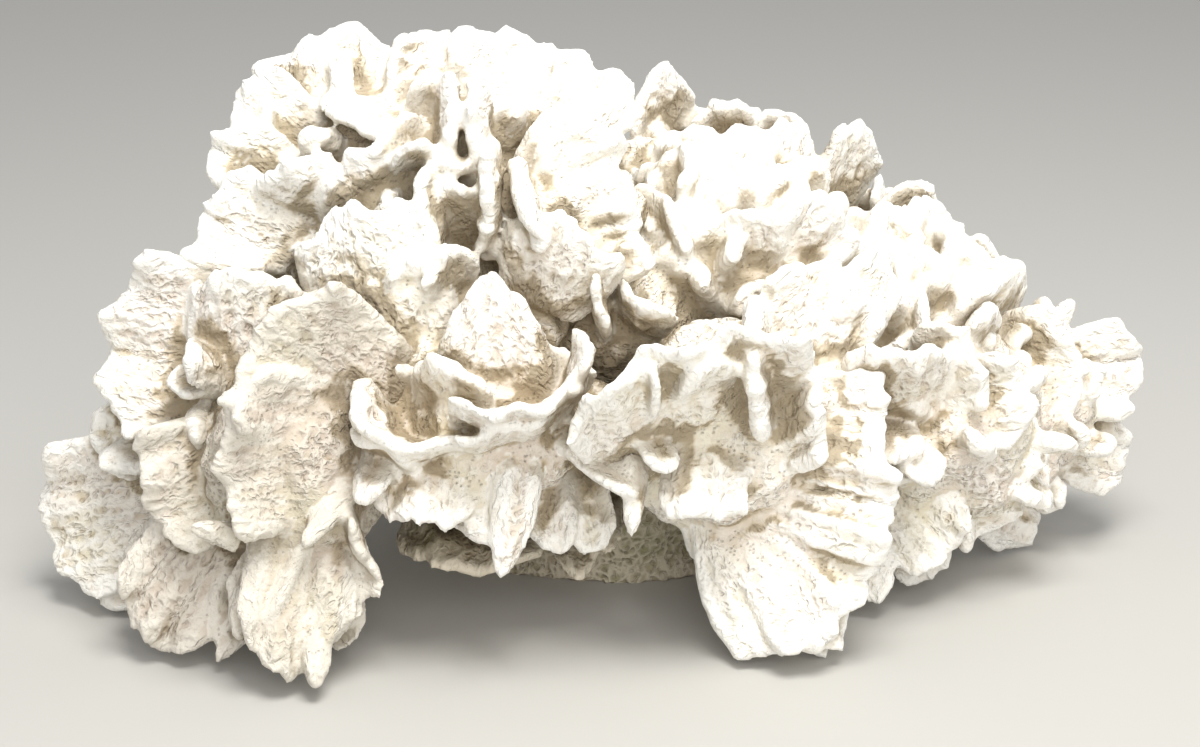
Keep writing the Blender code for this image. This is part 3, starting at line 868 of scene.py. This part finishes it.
@dataclass
class Trunk(Fork):
    """The stump, cut off flat, with the plates near its foot."""

    node: ClassVar[str] = "trunk"
    finish: ClassVar[SkeletonFinish] = SHADED
    voxel: float = 2.0

    def shapes(self) -> list[Shape]:
        """The drum and its three low plates."""
        return [
            Stump(),
            Plate((-42, -36, 46), (-58, -108, 32), (0, -0.5, 1), 60, foot=0.9, cup=-4, ruffle=2, thick=5.5),
            Plate((-12, -30, 48), (-10, -92, 22), (0, -0.4, 1), 22, foot=0.9, cup=-3),
            Plate((2, -30, 50), (2, -84, 30), (0.2, -0.5, 1), 16, foot=0.9, cup=-3),
        ]


@dataclass
class LeftWing(Fork):
    """The fan at the far left and the large round plate above it."""

    node: ClassVar[str] = "left_wing"

    def shapes(self) -> list[Shape]:
        """The wing's mass and plates."""
        heart = Lump((-146, -62, 72), (43, 41, 50))
        return [
            heart,
            Plate((-164, -78, 56), (-229, -56, 28), (-0.3, -1, 0.3), 66, foot=0.4, cup=8, curl=5, ruffle=2,
                  waves=3),
            Plate((-162, -78, 40), (-214, -66, 8), (-0.2, -1, 0.4), 38, cup=5, ruffle=2),
            Plate((-148, -84, 84), (-205, -70, 78), (-0.3, -1, 0.5), 38, cup=6, ruffle=2, thick=5.5),
            Plate((-130, -88, 114), (-195, -70, 118), (-0.3, -1, 0.3), 74, cup=11, curl=6, ruffle=2, waves=3,
                  thick=6),
            Plate((-142, -92, 104), (-156, -110, 130), (-0.8, -0.5, 0.6), 22, cup=7, thick=5),
            Plate((-138, -94, 100), (-132, -92, 153), (0.1, 0.9, 0.35), 54, foot=0.6, cup=16, curl=-4,
                  thick=6),
            Plate((-142, -60, 110), (-193, -44, 106), (-0.4, 0.6, 0.8), 60, cup=6, ruffle=3),
            Plate((-152, -50, 64), (-212, -26, 44), (-0.4, 0.5, 0.8), 56, cup=5, ruffle=3),
            Plate((-146, -92, 106), (-166, -104, 108), (-0.3, -0.6, 0.8), 18, cup=5, thick=4.6),
        ] + frills(heart, random.Random(51), 22, 18, 20)


@dataclass
class LeftCurtain(Fork):
    """The long plates that hang at the lower left, with the finger and the cup."""

    node: ClassVar[str] = "left_curtain"
    finish: ClassVar[SkeletonFinish] = PAINTED_SHADED

    def shapes(self) -> list[Shape]:
        """The curtain's mass, plates, nubs and finger."""
        return [
            Lump((-118, -100, 76), (39, 37, 46)),
            Plate((-84, -102, 96), (-130, -128, 141), (0.25, -1, 0.25), 66, foot=0.8, cup=5, curl=6,
                  ruffle=1.5,
                  crown=0.22, thick=6),
            Plate((-90, -106, 84), (-145, -144, 98), (0.15, -1, 0.15), 66, foot=0.8, cup=4, curl=5, ruffle=2,
                  crown=0.22, thick=5.5),
            Plate((-134, -104, 78), (-178, -114, 66), (0.2, -1, 0.3), 52, foot=0.7, cup=7, curl=4, ruffle=2,
                  thick=5),
            Plate((-140, -106, 66), (-176, -120, 7), (-0.1, -1, 0.25), 50, foot=0.6, cup=6, curl=4, ruffle=3,
                  waves=3),
            Plate((-110, -114, 74), (-119, -153, 8), (0.1, -1, 0.15), 44, foot=0.9, cup=6, ruffle=3, waves=3),
            Plate((-116, -122, 66), (-136, -142, 20), (-0.5, -1, 0.2), 26, foot=0.9, cup=4, ruffle=2),
            Plate((-108, -122, 48), (-107, -157, 6), (0.3, -1, 0), 11, foot=1, crown=0.15, thick=8),
            Plate((-110, -110, 48), (-84, -132, 36), (-0.8, -0.7, 0.1), 60, foot=0.8, cup=12, curl=5,
                  ruffle=2,
                  thick=4.6),
            Plate((-90, -120, 82), (-112, -145, 60), (-0.3, -1, 0.3), 11, foot=1, thick=5.5),
            Plate((-136, -136, 60), (-153, -148, 70), (-0.2, -1, 0.3), 10, foot=1.3, crown=0.5),
            Plate((-134, -116, 34), (-147, -130, 8), (0.1, -1, 0.3), 28, foot=0.6, cup=5, crown=0.5),
            Plate((-150, -96, 58), (-190, -108, 20), (-0.4, -1, 0.3), 30, foot=0.7, cup=5),
            Plate((-124, -126, 102), (-134, -150, 116), (0.2, -1, 0.6), 16, foot=1.1),
            Plate((-108, -106, 28), (-97, -127, 9), (-0.5, -0.8, 0.5), 30, foot=0.9, cup=6),
        ]


@dataclass
class LeftCrown(Fork):
    """The high mass on the left, with upright plates, blades and the ribbed fan on its right."""

    node: ClassVar[str] = "left_crown"
    finish: ClassVar[SkeletonFinish] = PAINTED_LIT

    def shapes(self) -> list[Shape]:
        """The crown's masses, plates and back shells."""
        heart = Lump((-78, -28, 156), (58, 44, 58))
        rng = random.Random(4)
        back = dress(heart, rng, (92,), ((30, 1),), 28, 56)
        side = dress(heart, rng, (156, 196), ((26, 1),), 26, 44)
        return [
            heart,
            Lump((-58, -60, 108), (47, 43, 43)),
            Lump((-14, -40, 150), (34, 34, 40)),
            Lump((-58, -26, 190), (52, 24, 26)),
            Plate((-120, -36, 198), (-119, -22, 226), (-0.2, -1, 0.3), 36, foot=0.6, cup=6, ruffle=2,
                  thick=6),
            Plate((-98, -34, 202), (-94, -18, 230), (0, -1, 0.3), 34, foot=0.6, cup=5, ruffle=2, thick=6),
            Plate((-74, -38, 202), (-66, -18, 230), (0.3, -1, 0.2), 32, foot=0.7, cup=5, ruffle=2, thick=6),
            Plate((-44, -38, 202), (-38, -16, 230), (0.1, -1, 0.3), 42, foot=0.6, cup=7, ruffle=2, thick=6),
            Plate((-24, -34, 194), (-11, -14, 221), (0.3, -1, 0.3), 34, foot=0.6, cup=6, ruffle=2, thick=6),
            Plate((-8, -28, 188), (10, -18, 211), (0.3, -1, 0.3), 30, foot=0.6, cup=5, thick=5.5),
            Plate((-116, -44, 190), (-143, -44, 212), (-0.4, -0.8, 0.5), 34, foot=0.7, cup=6, ruffle=2,
                  thick=6),
            Plate((-118, -66, 154), (-154, -68, 172), (-0.3, -0.9, 0.4), 40, foot=0.6, cup=8, ruffle=2,
                  thick=6),
            Plate((-78, -54, 164), (-92, -76, 196), (-0.2, -0.8, 0.7), 54, foot=0.9, cup=-7, ruffle=2,
                  thick=6),
            Plate((-80, -90, 120), (-94, -88, 178), (-0.1, -1, 0.1), 58, foot=0.9, cup=-5, ruffle=3, thick=5.5),
            Plate((-63, -40, 186), (-58, -78, 210), (1, -0.2, 0.1), 42, foot=0.9, curl=3, thick=6),
            Plate((-46, -40, 186), (-45, -78, 210), (-1, -0.2, 0.1), 42, foot=0.9, curl=3, thick=6),
            Plate((-52, -62, 156), (-56, -82, 186), (0, -1, 0.1), 32, foot=0.9, ruffle=3, thick=4.6),
            Plate((-42, -58, 176), (-42, -94, 176), (1, -0.2, 0), 42, foot=0.9, curl=-3, thick=6),
            Plate((-30, -62, 180), (-24, -98, 160), (0.9, -0.5, 0), 28, foot=0.9, crown=0.6, ruffle=3,
                  thick=5.5),
            Plate((-24, -76, 132), (-9, -92, 168), (0.1, -1, 0.3), 50, foot=0.6, cup=-6, curl=-3, thick=5),
            Plate((-28, -60, 162), (14, -58, 180), (0.1, -1, 0.3), 76, foot=0.5, cup=5, ruffle=3, waves=3,
                  thick=5.5, rib=2.4),
            Plate((-66, -82, 138), (-74, -98, 158), (-0.2, -1, 0.5), 26, foot=0.8, cup=4, thick=4.6),
            Plate((-56, -82, 138), (-60, -98, 162), (0.3, -1, 0.5), 26, foot=0.8, cup=4, thick=4.6),
            Plate((-70, -54, 180), (-70, -82, 200), (0, -1, 0.7), 20, foot=0.8, cup=6, thick=4.4),
            Plate((-54, -50, 178), (-53, -82, 190), (0, -0.2, 1), 26, foot=0.9, cup=4, thick=4.6),
            Plate((-106, -60, 164), (-126, -78, 190), (-0.5, -0.8, 0.5), 36, foot=0.8, cup=-5,
                  thick=6),
            Plate((-103, -32, 222), (-100, -51, 206), (0, -1, 0.2), 10, foot=1, crown=0.2, thick=6),
            Plate((-62, -58, 170), (-64, -92, 172), (-1, -0.3, 0), 38, foot=0.9, curl=3, thick=5.5),
            Plate((-16, -58, 178), (-4, -52, 202), (0.2, -1, 0.3), 30, foot=0.8, cup=5, thick=5.5),
            Plate((-120, -54, 174), (-151, -54, 194), (-0.4, -0.9, 0.4), 32, foot=0.7, cup=6, ruffle=2,
                  thick=6),
            Plate((-130, -72, 148), (-165, -78, 155), (-0.2, -0.6, 1), 15, foot=1, crown=0.5, thick=5.5),
            Plate((-82, -40, 200), (-98, -66, 205), (0, -0.6, 0.9), 46, foot=0.9, cup=-4, thick=6),
        ] + back + side + frills(heart, random.Random(52), 36, 18, 20)


@dataclass
class MiddleFolds(Fork):
    """The tall bright fold, the bowl and the cup beside it, and the teeth and struts below."""

    node: ClassVar[str] = "middle_folds"

    def shapes(self) -> list[Shape]:
        """The masses, folds, cups, teeth and struts."""
        return [
            Lump((-44, -92, 88), (41, 34, 36)),
            Lump((0, -80, 84), (18, 18, 18)),
            Plate((-38, -106, 94), (-43, -108, 155), (0.1, -1, 0.25), 48, foot=1.3, cup=-8, bow=3, crown=0.75,
                  thick=6.5),
            Plate((-56, -106, 94), (-57, -124, 128), (-0.4, -1, 0.4), 34, foot=1, cup=-5, crown=0.4, thick=6),
            Plate((-35, -104, 92), (-25, -152, 118), (0, -0.3, 1), 54, foot=0.7, cup=10, ruffle=2, waves=3,
                  thick=4.4),
            Plate((-14, -102, 102), (-6, -134, 130), (-0.9, -0.1, 0.6), 34, foot=0.8, cup=6, thick=5),
            Plate((-74, -106, 86), (-92, -136, 112), (1, 0.1, 0.6), 38, foot=0.9, cup=6, ruffle=2, thick=5.5),
            Plate((-72, -104, 84), (-76, -142, 98), (0.1, 0.1, 1), 40, foot=0.8, cup=6, ruffle=2, thick=5),
            Plate((-70, -92, 96), (-78, -104, 118), (-0.1, -1, 0.4), 28, foot=0.9, cup=-6, crown=0.5,
                  thick=6),
            Plate((-62, -104, 96), (-64, -136, 66), (0, -1, -0.1), 64, foot=0.9, cup=-7, ruffle=3, waves=3,
                  thick=4.6),
            Plate((-30, -108, 94), (-37, -143, 46), (0.3, -1, 0), 18, foot=1.1, bow=4, crown=0.6, thick=7),
            Plate((-62, -108, 64), (-36, -140, 58), (0, -1, 0.5), 11, foot=1, thick=5.5),
            Plate((-20, -108, 100), (15, -134, 76), (0.3, -0.7, 1), 12, foot=1.1, bow=-5, thick=5.5),
            Plate((-26, -90, 72), (-15, -114, 42), (0, -1, 0.4), 22, foot=0.8, cup=4, thick=5.5),
            Plate((-8, -88, 72), (-2, -108, 38), (0.3, -1, 0.4), 20, foot=0.9, cup=3, thick=5.5),
            Plate((-38, -104, 84), (-29, -145, 108), (0, -0.5, 1), 48, foot=0.8, cup=7, ruffle=2, thick=4.2),
            Plate((-22, -90, 102), (-15, -98, 126), (0.1, -1, 0.3), 34, foot=0.9, cup=5, thick=4.6),
            Plate((-10, -92, 90), (-6, -124, 100), (0.3, -0.5, 1), 22, foot=0.9, cup=4, thick=4.4),
            Plate((14, -118, 86), (12, -136, 60), (0.4, -1, 0), 10, foot=1.1, crown=0.5, thick=5.5),
            Plate((-80, -108, 88), (-90, -142, 76), (-0.3, -1, 0.2), 17, foot=0.9, crown=0.5, thick=6),
        ]


@dataclass
class FrontCone(Fork):
    """The wavy rim over the textured plate, the buttress and the big ribbed cone."""

    node: ClassVar[str] = "front_cone"
    finish: ClassVar[SkeletonFinish] = PAINTED_LIT

    def shapes(self) -> list[Shape]:
        """The mass, the wavy plate, the buttress and the plates of the cone."""
        return [
            Lump((52, -82, 82), (47, 37, 47)),
            Plate((46, -98, 76), (24, -144, 143), (0, -1, 0.25), 98, foot=0.8, cup=3, curl=5, ruffle=4,
                  waves=3, crown=0.25, thick=5),
            Plate((62, -92, 116), (57, -141, 126), (1, 0, 0.1), 54, foot=0.9, thick=6.5),
            Plate((72, -86, 104), (94, -76, 150), (0.2, -1, 0.25), 52, foot=0.7, cup=5, ruffle=3, thick=5, rib=0.9),
            Plate((42, -106, 92), (38, -138, 66), (0, -1, 0.1), 34, foot=1, cup=-4, ruffle=2, crown=0.15,
                  thick=4.6),
            Plate((14, -106, 106), (26, -136, 86), (0.4, -0.6, 1), 15, foot=1.1, bow=-4, thick=5.5),
            Plate((42, -96, 66), (112, -121, 58), (-0.1, -1, 0.3), 116, foot=0.25, cup=-12, ruffle=4,
                  waves=4, crown=0.25, thick=4.6, rib=2.8),
            Plate((50, -98, 78), (84, -120, 116), (0, -1, 0.35), 46, foot=0.5, cup=5, curl=4, ruffle=3,
                  thick=5, rib=2.1),
            Plate((46, -98, 56), (84, -133, 12), (0, -1, 0.2), 58, foot=0.4, cup=-8, ruffle=3, waves=3,
                  thick=5, rib=2.5),
            Plate((44, -94, 52), (64, -124, 16), (-0.4, -1, 0.2), 30, foot=0.8, cup=-5, ruffle=3,
                  thick=5, rib=1.2),
            Plate((66, -98, 40), (93, -125, 9), (0.3, -1, 0.3), 34, foot=0.7, cup=7, ruffle=2, thick=5),
            Plate((14, -110, 102), (20, -148, 131), (-0.3, -1, 0.5), 22, foot=0.8, cup=4, thick=4.6),
            Plate((36, -112, 106), (41, -148, 135), (0.2, -1, 0.5), 24, foot=0.8, cup=4, thick=4.6),
            Plate((40, -90, 62), (46, -108, 31), (-0.3, -1, 0.2), 24, foot=0.8, cup=-4, ruffle=2, thick=5.5),
            Plate((92, -78, 112), (110, -71, 154), (0.5, -1, 0.3), 30, foot=0.8, cup=5, thick=5.5),
        ]


@dataclass
class RightRidge(Fork):
    """The long slope at the back right, set with small rounded shells."""

    node: ClassVar[str] = "right_ridge"
    finish: ClassVar[SkeletonFinish] = PAINTED_LIT
    crest_shells: int = 6
    depth: float = 26.0
    line: tuple[tuple[float, float], ...] = (
        (8, 206), (34, 206), (60, 190), (80, 190), (108, 178), (134, 160), (152, 142), (172, 126), (190, 110))

    def height(self, x: float) -> float:
        """Height of the ridge above x, read along its line."""
        return float(np.interp(x, [a for a, _ in self.line], [b for _, b in self.line]))

    def shapes(self) -> list[Shape]:
        """The slope's masses and shells."""
        rng = random.Random(11)
        upper = Lump((52, 4, 124), (58, 50, 50))
        lower = Lump((118, 8, 92), (60, 48, 48))
        crest = []
        for i in range(self.crest_shells):
            x = 14 + 172 * (i + 0.3) / self.crest_shells + rng.uniform(-3, 3)
            top = self.height(x) + rng.uniform(-3, 2)
            face = (rng.uniform(-0.5, 0.7), -1, 0.4)
            crest.append(Plate(
                (x * 0.9 + 6, self.depth + 12, top - 44), (x, self.depth - 4, top), face,
                rng.uniform(33, 40), foot=0.6, cup=rng.uniform(4, 8), crown=0.45, thick=5.5))
        slope = dress(upper, rng, (-124, -86, -48), ((24, 1), (56, 1)), 24, 44, 6)
        foot = dress(lower, rng, (-84, -40), ((24, 1),), 24, 46, 6)
        tiles = dress(upper, random.Random(53), range(-150, -20, 23), ((2, 1), (24, 1), (46, 1), (68, 1)), 20, 27, 8)
        tiles += dress(lower, random.Random(54), range(-112, -10, 23), ((2, 1), (24, 1), (46, 1), (68, 1)), 20, 27, 8)
        tiles += frills(upper, random.Random(57), 22, 16, 20) + frills(lower, random.Random(58), 22, 16, 20)
        return [
            upper,
            lower,
            Lump((10, 14, 138), (34, 34, 40)),
            Lump((6, -34, 112), (36, 34, 38)),
            Plate((2, -50, 116), (-3, -92, 147), (0.1, -0.8, 0.6), 28, cup=5, thick=4.6),
            Plate((14, -50, 112), (16, -92, 139), (0.1, -0.8, 0.6), 28, cup=5, thick=4.6),
            Plate((56, 20, 160), (60, 46, 184), (0, 1, 0.4), 44, cup=6, ruffle=3),
        ] + crest + slope + foot + tiles


@dataclass
class RightWing(Fork):
    """Shells, scale plates, the column plate and the fans at the far right."""

    node: ClassVar[str] = "right_wing"

    def shapes(self) -> list[Shape]:
        """The wing's masses, shells and fans."""
        near = Lump((140, -34, 66), (47, 43, 45))
        far = Lump((174, -6, 62), (38, 32, 38))
        return [
            near,
            far,
            Plate((114, -58, 72), (113, -96, 121), (0.1, -1, 0.4), 58, foot=0.8, cup=-9, ruffle=2, thick=6, rib=0.9),
            Plate((118, -62, 80), (115, -104, 77), (0.2, -0.6, 1), 24, cup=4, thick=5.5),
            Plate((118, -60, 50), (140, -74, 21), (-0.1, -1, 0.5), 42, foot=0.6, cup=9, ruffle=2, thick=4.2),
            Plate((124, -52, 36), (138, -60, 6), (0, -1, 0.3), 26, foot=0.8, cup=4),
            Plate((130, -58, 92), (150, -73, 114), (0, -1, 0.4), 42, cup=6, ruffle=2, thick=5.5),
            Plate((136, -58, 84), (175, -66, 91), (0.1, -1, 0.3), 40, cup=6, ruffle=2, thick=5.5, rib=1.0),
            Plate((136, -54, 70), (182, -54, 62), (0.1, -1, 0.3), 38, cup=5, ruffle=2, thick=4.6, rib=1.1),
            Plate((134, -50, 54), (179, -46, 34), (0.1, -1, 0.3), 38, cup=5, ruffle=2, thick=4.4),
            Plate((152, -30, 40), (190, -11, 9), (0.2, -1, 0.3), 36, foot=0.7, cup=4, ruffle=2),
            Plate((168, -14, 80), (201, -29, 82), (-0.3, -1, 0.2), 66, foot=0.8, cup=5, ruffle=2, thick=6.5),
            Plate((190, -2, 76), (234, 4, 78), (0, -1, 0.3), 44, foot=0.5, cup=6, ruffle=3, waves=3, thick=4.6, rib=1.1),
            Plate((190, -2, 48), (233, 2, 38), (0, -1, 0.3), 40, foot=0.5, cup=5, ruffle=3, waves=3, thick=4.2, rib=1.1),
            Plate((180, 8, 66), (217, 26, 63), (0.3, 1, 0.5), 50, cup=5, ruffle=3),
            Plate((122, -68, 74), (128, -101, 67), (0.2, -0.6, 1), 22, cup=4, thick=5.5),
            Plate((108, -62, 36), (110, -86, 7), (0.1, -1, 0.3), 20, foot=0.9, cup=3),
            Plate((184, -4, 80), (201, 6, 108), (0.1, -1, 0.1), 15, foot=0.9, crown=0.6, thick=4.2),
        ] + frills(near, random.Random(55), 26, 16, 20) + frills(far, random.Random(56), 20, 15, 18)


@dataclass
class BackFork(Fork):
    """A rounded fork behind the trunk, its first mass set with rings of shells."""

    voxel: float = 1.8
    hearts: tuple[Lump, ...] = ()
    seed: int = 0
    turns: tuple[float, ...] = ()

    def shapes(self) -> list[Shape]:
        """The masses, their large shells and the lobes between."""
        rng = random.Random(self.seed)
        shells = dress(self.hearts[0], rng, self.turns, ((-6, -1), (36, 1)), 38, 68)
        small = frills(self.hearts[0], random.Random(self.seed + 1), 44, 20, 24)
        return list(self.hearts) + shells + small


@dataclass
class BackLeft(BackFork):
    """The hidden side behind the crown and the left wing."""

    node: ClassVar[str] = "back_left"
    hearts: tuple[Lump, ...] = (Lump((-84, 52, 94), (62, 49, 60)), Lump((-14, 28, 112), (48, 38, 48)))
    seed: int = 21
    turns: tuple[float, ...] = (62, 104, 146)


@dataclass
class BackRight(BackFork):
    """The hidden side behind the ridge and the right wing."""

    node: ClassVar[str] = "back_right"
    hearts: tuple[Lump, ...] = (Lump((70, 60, 80), (70, 52, 56)),)
    seed: int = 33
    turns: tuple[float, ...] = (16, 60, 104)


# Worm tube


@dataclass(frozen=True)
class TubeShape:
    """A short round tube with a bore, grown in rings."""

    root: Triple = (0, -88, 84)
    tip: Triple = (-2, -101, 82)
    outer: float = 3.3
    bore: float = 1.4
    sides: int = 40
    rings: int = 20

    def patch(self, number: int) -> Patch:
        """The closed tube.

        Args:
            number: Not used by a tube.

        Returns:
            The patch.
        """
        start, end = np.array(self.root, float), np.array(self.tip, float)
        run = end - start
        turned = Vector(run).to_track_quat("Z", "Y").to_matrix()
        swing = np.linspace(0, 2 * math.pi, self.sides)
        spokes = np.stack([np.cos(swing), np.sin(swing), np.zeros_like(swing)], -1) @ np.array(turned).T
        share = np.linspace(0, 1, self.rings)
        outer = self.outer - 0.35 * (0.5 + 0.5 * np.cos(share * math.pi * 9))
        stations = [(0.0, self.bore)] + list(zip(share, outer)) + [(1.0, self.bore), (0.0, self.bore)]
        rows = np.stack([start + run * along + spokes * radius for along, radius in stations])
        points = rows.reshape(-1, 3)
        faces = sheet_faces(len(stations), self.sides, 0)
        around = np.tile(unit(run), (len(points), 1))
        flat = np.zeros(len(points))
        return Patch(points, faces, points * 0.4, around, around, flat + 3.0, flat)


@dataclass
class WormTube(Fork):
    """The limy tube of a worm, fixed in the hollow beside the middle folds."""

    node: ClassVar[str] = "worm_tube"
    finish: ClassVar[SkeletonFinish] = WORM_LIME
    voxel: float = 0.4
    quick_voxel: float = 0.5
    net_depth: float = 0.05

    def shapes(self) -> list[Shape]:
        """The tube."""
        return [TubeShape()]


FORKS: tuple[type[Fork], ...] = (
    Trunk, LeftWing, LeftCurtain, LeftCrown, MiddleFolds, FrontCone, RightRidge, RightWing, BackLeft, BackRight,
    WormTube)


# Hollows


@dataclass(frozen=True)
class Crowding:
    """How closed in each point of the colony is, from how much skin stands in front of it."""

    cell: float = 4.0
    reaches: tuple[float, ...] = (7.0, 12.0, 18.0, 26.0)
    full: float = 5.0

    def note(self, skins: Iterable[Skin]) -> None:
        """Store the hollow of every point.

        Args:
            skins: All the skins of the colony.
        """
        skins = list(skins)
        places = [skin.places() for skin in skins]
        low = np.concatenate(places).min(0) - 40
        shape = ((np.concatenate(places).max(0) + 40 - low) / self.cell).astype(int) + 1
        density = np.zeros(shape)
        for skin, points in zip(skins, places):
            spots = ((points - low) / self.cell).astype(int)
            per_point = 1.0 / (len(points) and (self.cell / self.point_pitch(skin)) ** 2)
            np.add.at(density, tuple(spots.T), per_point)
        for _ in range(2):
            for axis in range(3):
                density = (np.roll(density, 1, axis) + density + np.roll(density, -1, axis)) / 3
        for skin, points in zip(skins, places):
            normals = skin.normals()
            found = np.zeros(len(points))
            for reach in self.reaches:
                spots = ((points + normals * reach - low) / self.cell).astype(int)
                found += density[tuple(np.clip(spots, 0, np.array(shape) - 1).T)]
            # The hollow drives the painted shade of the finish.
            skin.remember(Note.HOLLOW, np.clip(found * self.full / len(self.reaches), 0, 1))

    @staticmethod
    def point_pitch(skin: Skin) -> float:
        """Distance between neighbouring points of a skin, in millimetres."""
        edge = skin.piece.data.edges[len(skin.piece.data.edges) // 2]
        a, b = (skin.piece.data.vertices[i].co for i in edge.vertices)
        return max((a - b).length / MM, 0.3)


# Studio


@dataclass(frozen=True)
class Studio:
    """A pale floor, soft light from above and in front, and the camera at the photograph's angle."""

    aim: Triple = (0.0, -0.065, 0.100)
    elevation: float = 20.0
    distance: float = 0.95
    view_width: float = 0.48
    sensor: float = 36.0
    floor_side: float = 6.0
    floor_colour: Colour = (0.50, 0.49, 0.46, 1)
    sky: Colour = (0.96, 0.97, 1.0, 1)
    sky_strength: float = 0.55

    def camera(self) -> None:
        """Add the camera."""
        data = bpy.data.cameras.new("camera")
        thing = bpy.data.objects.new("camera", data)
        bpy.context.scene.collection.objects.link(thing)
        rise = math.radians(self.elevation)
        back = Vector((0, -math.cos(rise), math.sin(rise)))
        thing.location = Vector(self.aim) + back * self.distance
        thing.rotation_euler = (-back).to_track_quat("-Z", "Y").to_euler()
        data.sensor_width = self.sensor
        data.lens = self.sensor * self.distance / self.view_width
        bpy.context.scene.camera = thing

    def light(self, name: str, place: Triple, size: float, power: float, colour: Triple) -> None:
        """Add a square soft light that looks at the colony.

        Args:
            name: Its name.
            place: Where it hangs, in metres.
            size: Its side, in metres.
            power: Its power, in watts.
            colour: Its colour.
        """
        data = bpy.data.lights.new(name, "AREA")
        data.size = size
        data.energy = power
        data.color = colour
        thing = bpy.data.objects.new(name, data)
        bpy.context.scene.collection.objects.link(thing)
        thing.location = place
        toward = Vector(self.aim) - Vector(place)
        thing.rotation_euler = toward.to_track_quat("-Z", "Y").to_euler()

    def floor(self) -> None:
        """Add the floor, in one plain tone."""
        half = self.floor_side / 2
        data = bpy.data.meshes.new("floor")
        data.from_pydata([(-half, -half, 0), (half, -half, 0), (half, half, 0), (-half, half, 0)], [], [(0, 1, 2, 3)])
        thing = bpy.data.objects.new("floor", data)
        bpy.context.scene.collection.objects.link(thing)
        material = bpy.data.materials.new("floor")
        material.use_nodes = True
        shader = material.node_tree.nodes["Principled BSDF"]
        shader.inputs["Base Color"].default_value = self.floor_colour
        shader.inputs["Roughness"].default_value = 0.9
        data.materials.append(material)

    def sky_light(self) -> None:
        """Add the dim even light of the room."""
        world = bpy.data.worlds.new("room")
        world.use_nodes = True
        back = world.node_tree.nodes["Background"]
        back.inputs["Color"].default_value = self.sky
        back.inputs["Strength"].default_value = self.sky_strength
        bpy.context.scene.world = world

    def build(self) -> None:
        """Set up the whole studio."""
        self.camera()
        self.floor()
        self.sky_light()
        self.light("key", (0.18, -0.50, 1.35), 0.6, 20.0, (1.0, 0.985, 0.955))
        self.light("front", (0.3, -1.6, 0.8), 1.2, 13.5, (1.0, 0.99, 0.975))
        bpy.context.scene.view_settings.view_transform = "Standard"


def main() -> None:
    """Build the studio and the forks in order, and report each piece."""
    logging.basicConfig(level=logging.INFO, format="%(message)s")
    Studio().build()
    skins = []
    low, high = CAD_BOX
    for kind in FORKS:
        skin = kind().build()
        skin.trace()
        skin.etch()
        skin.hold_in(low, high)
        skins.append(skin)
        LOG.info("%s: %d quads", skin.piece.name, len(skin.piece.data.polygons))
    Crowding().note(skins)
    for skin in skins:
        skin.attach()


if __name__ == "__main__":
    main()
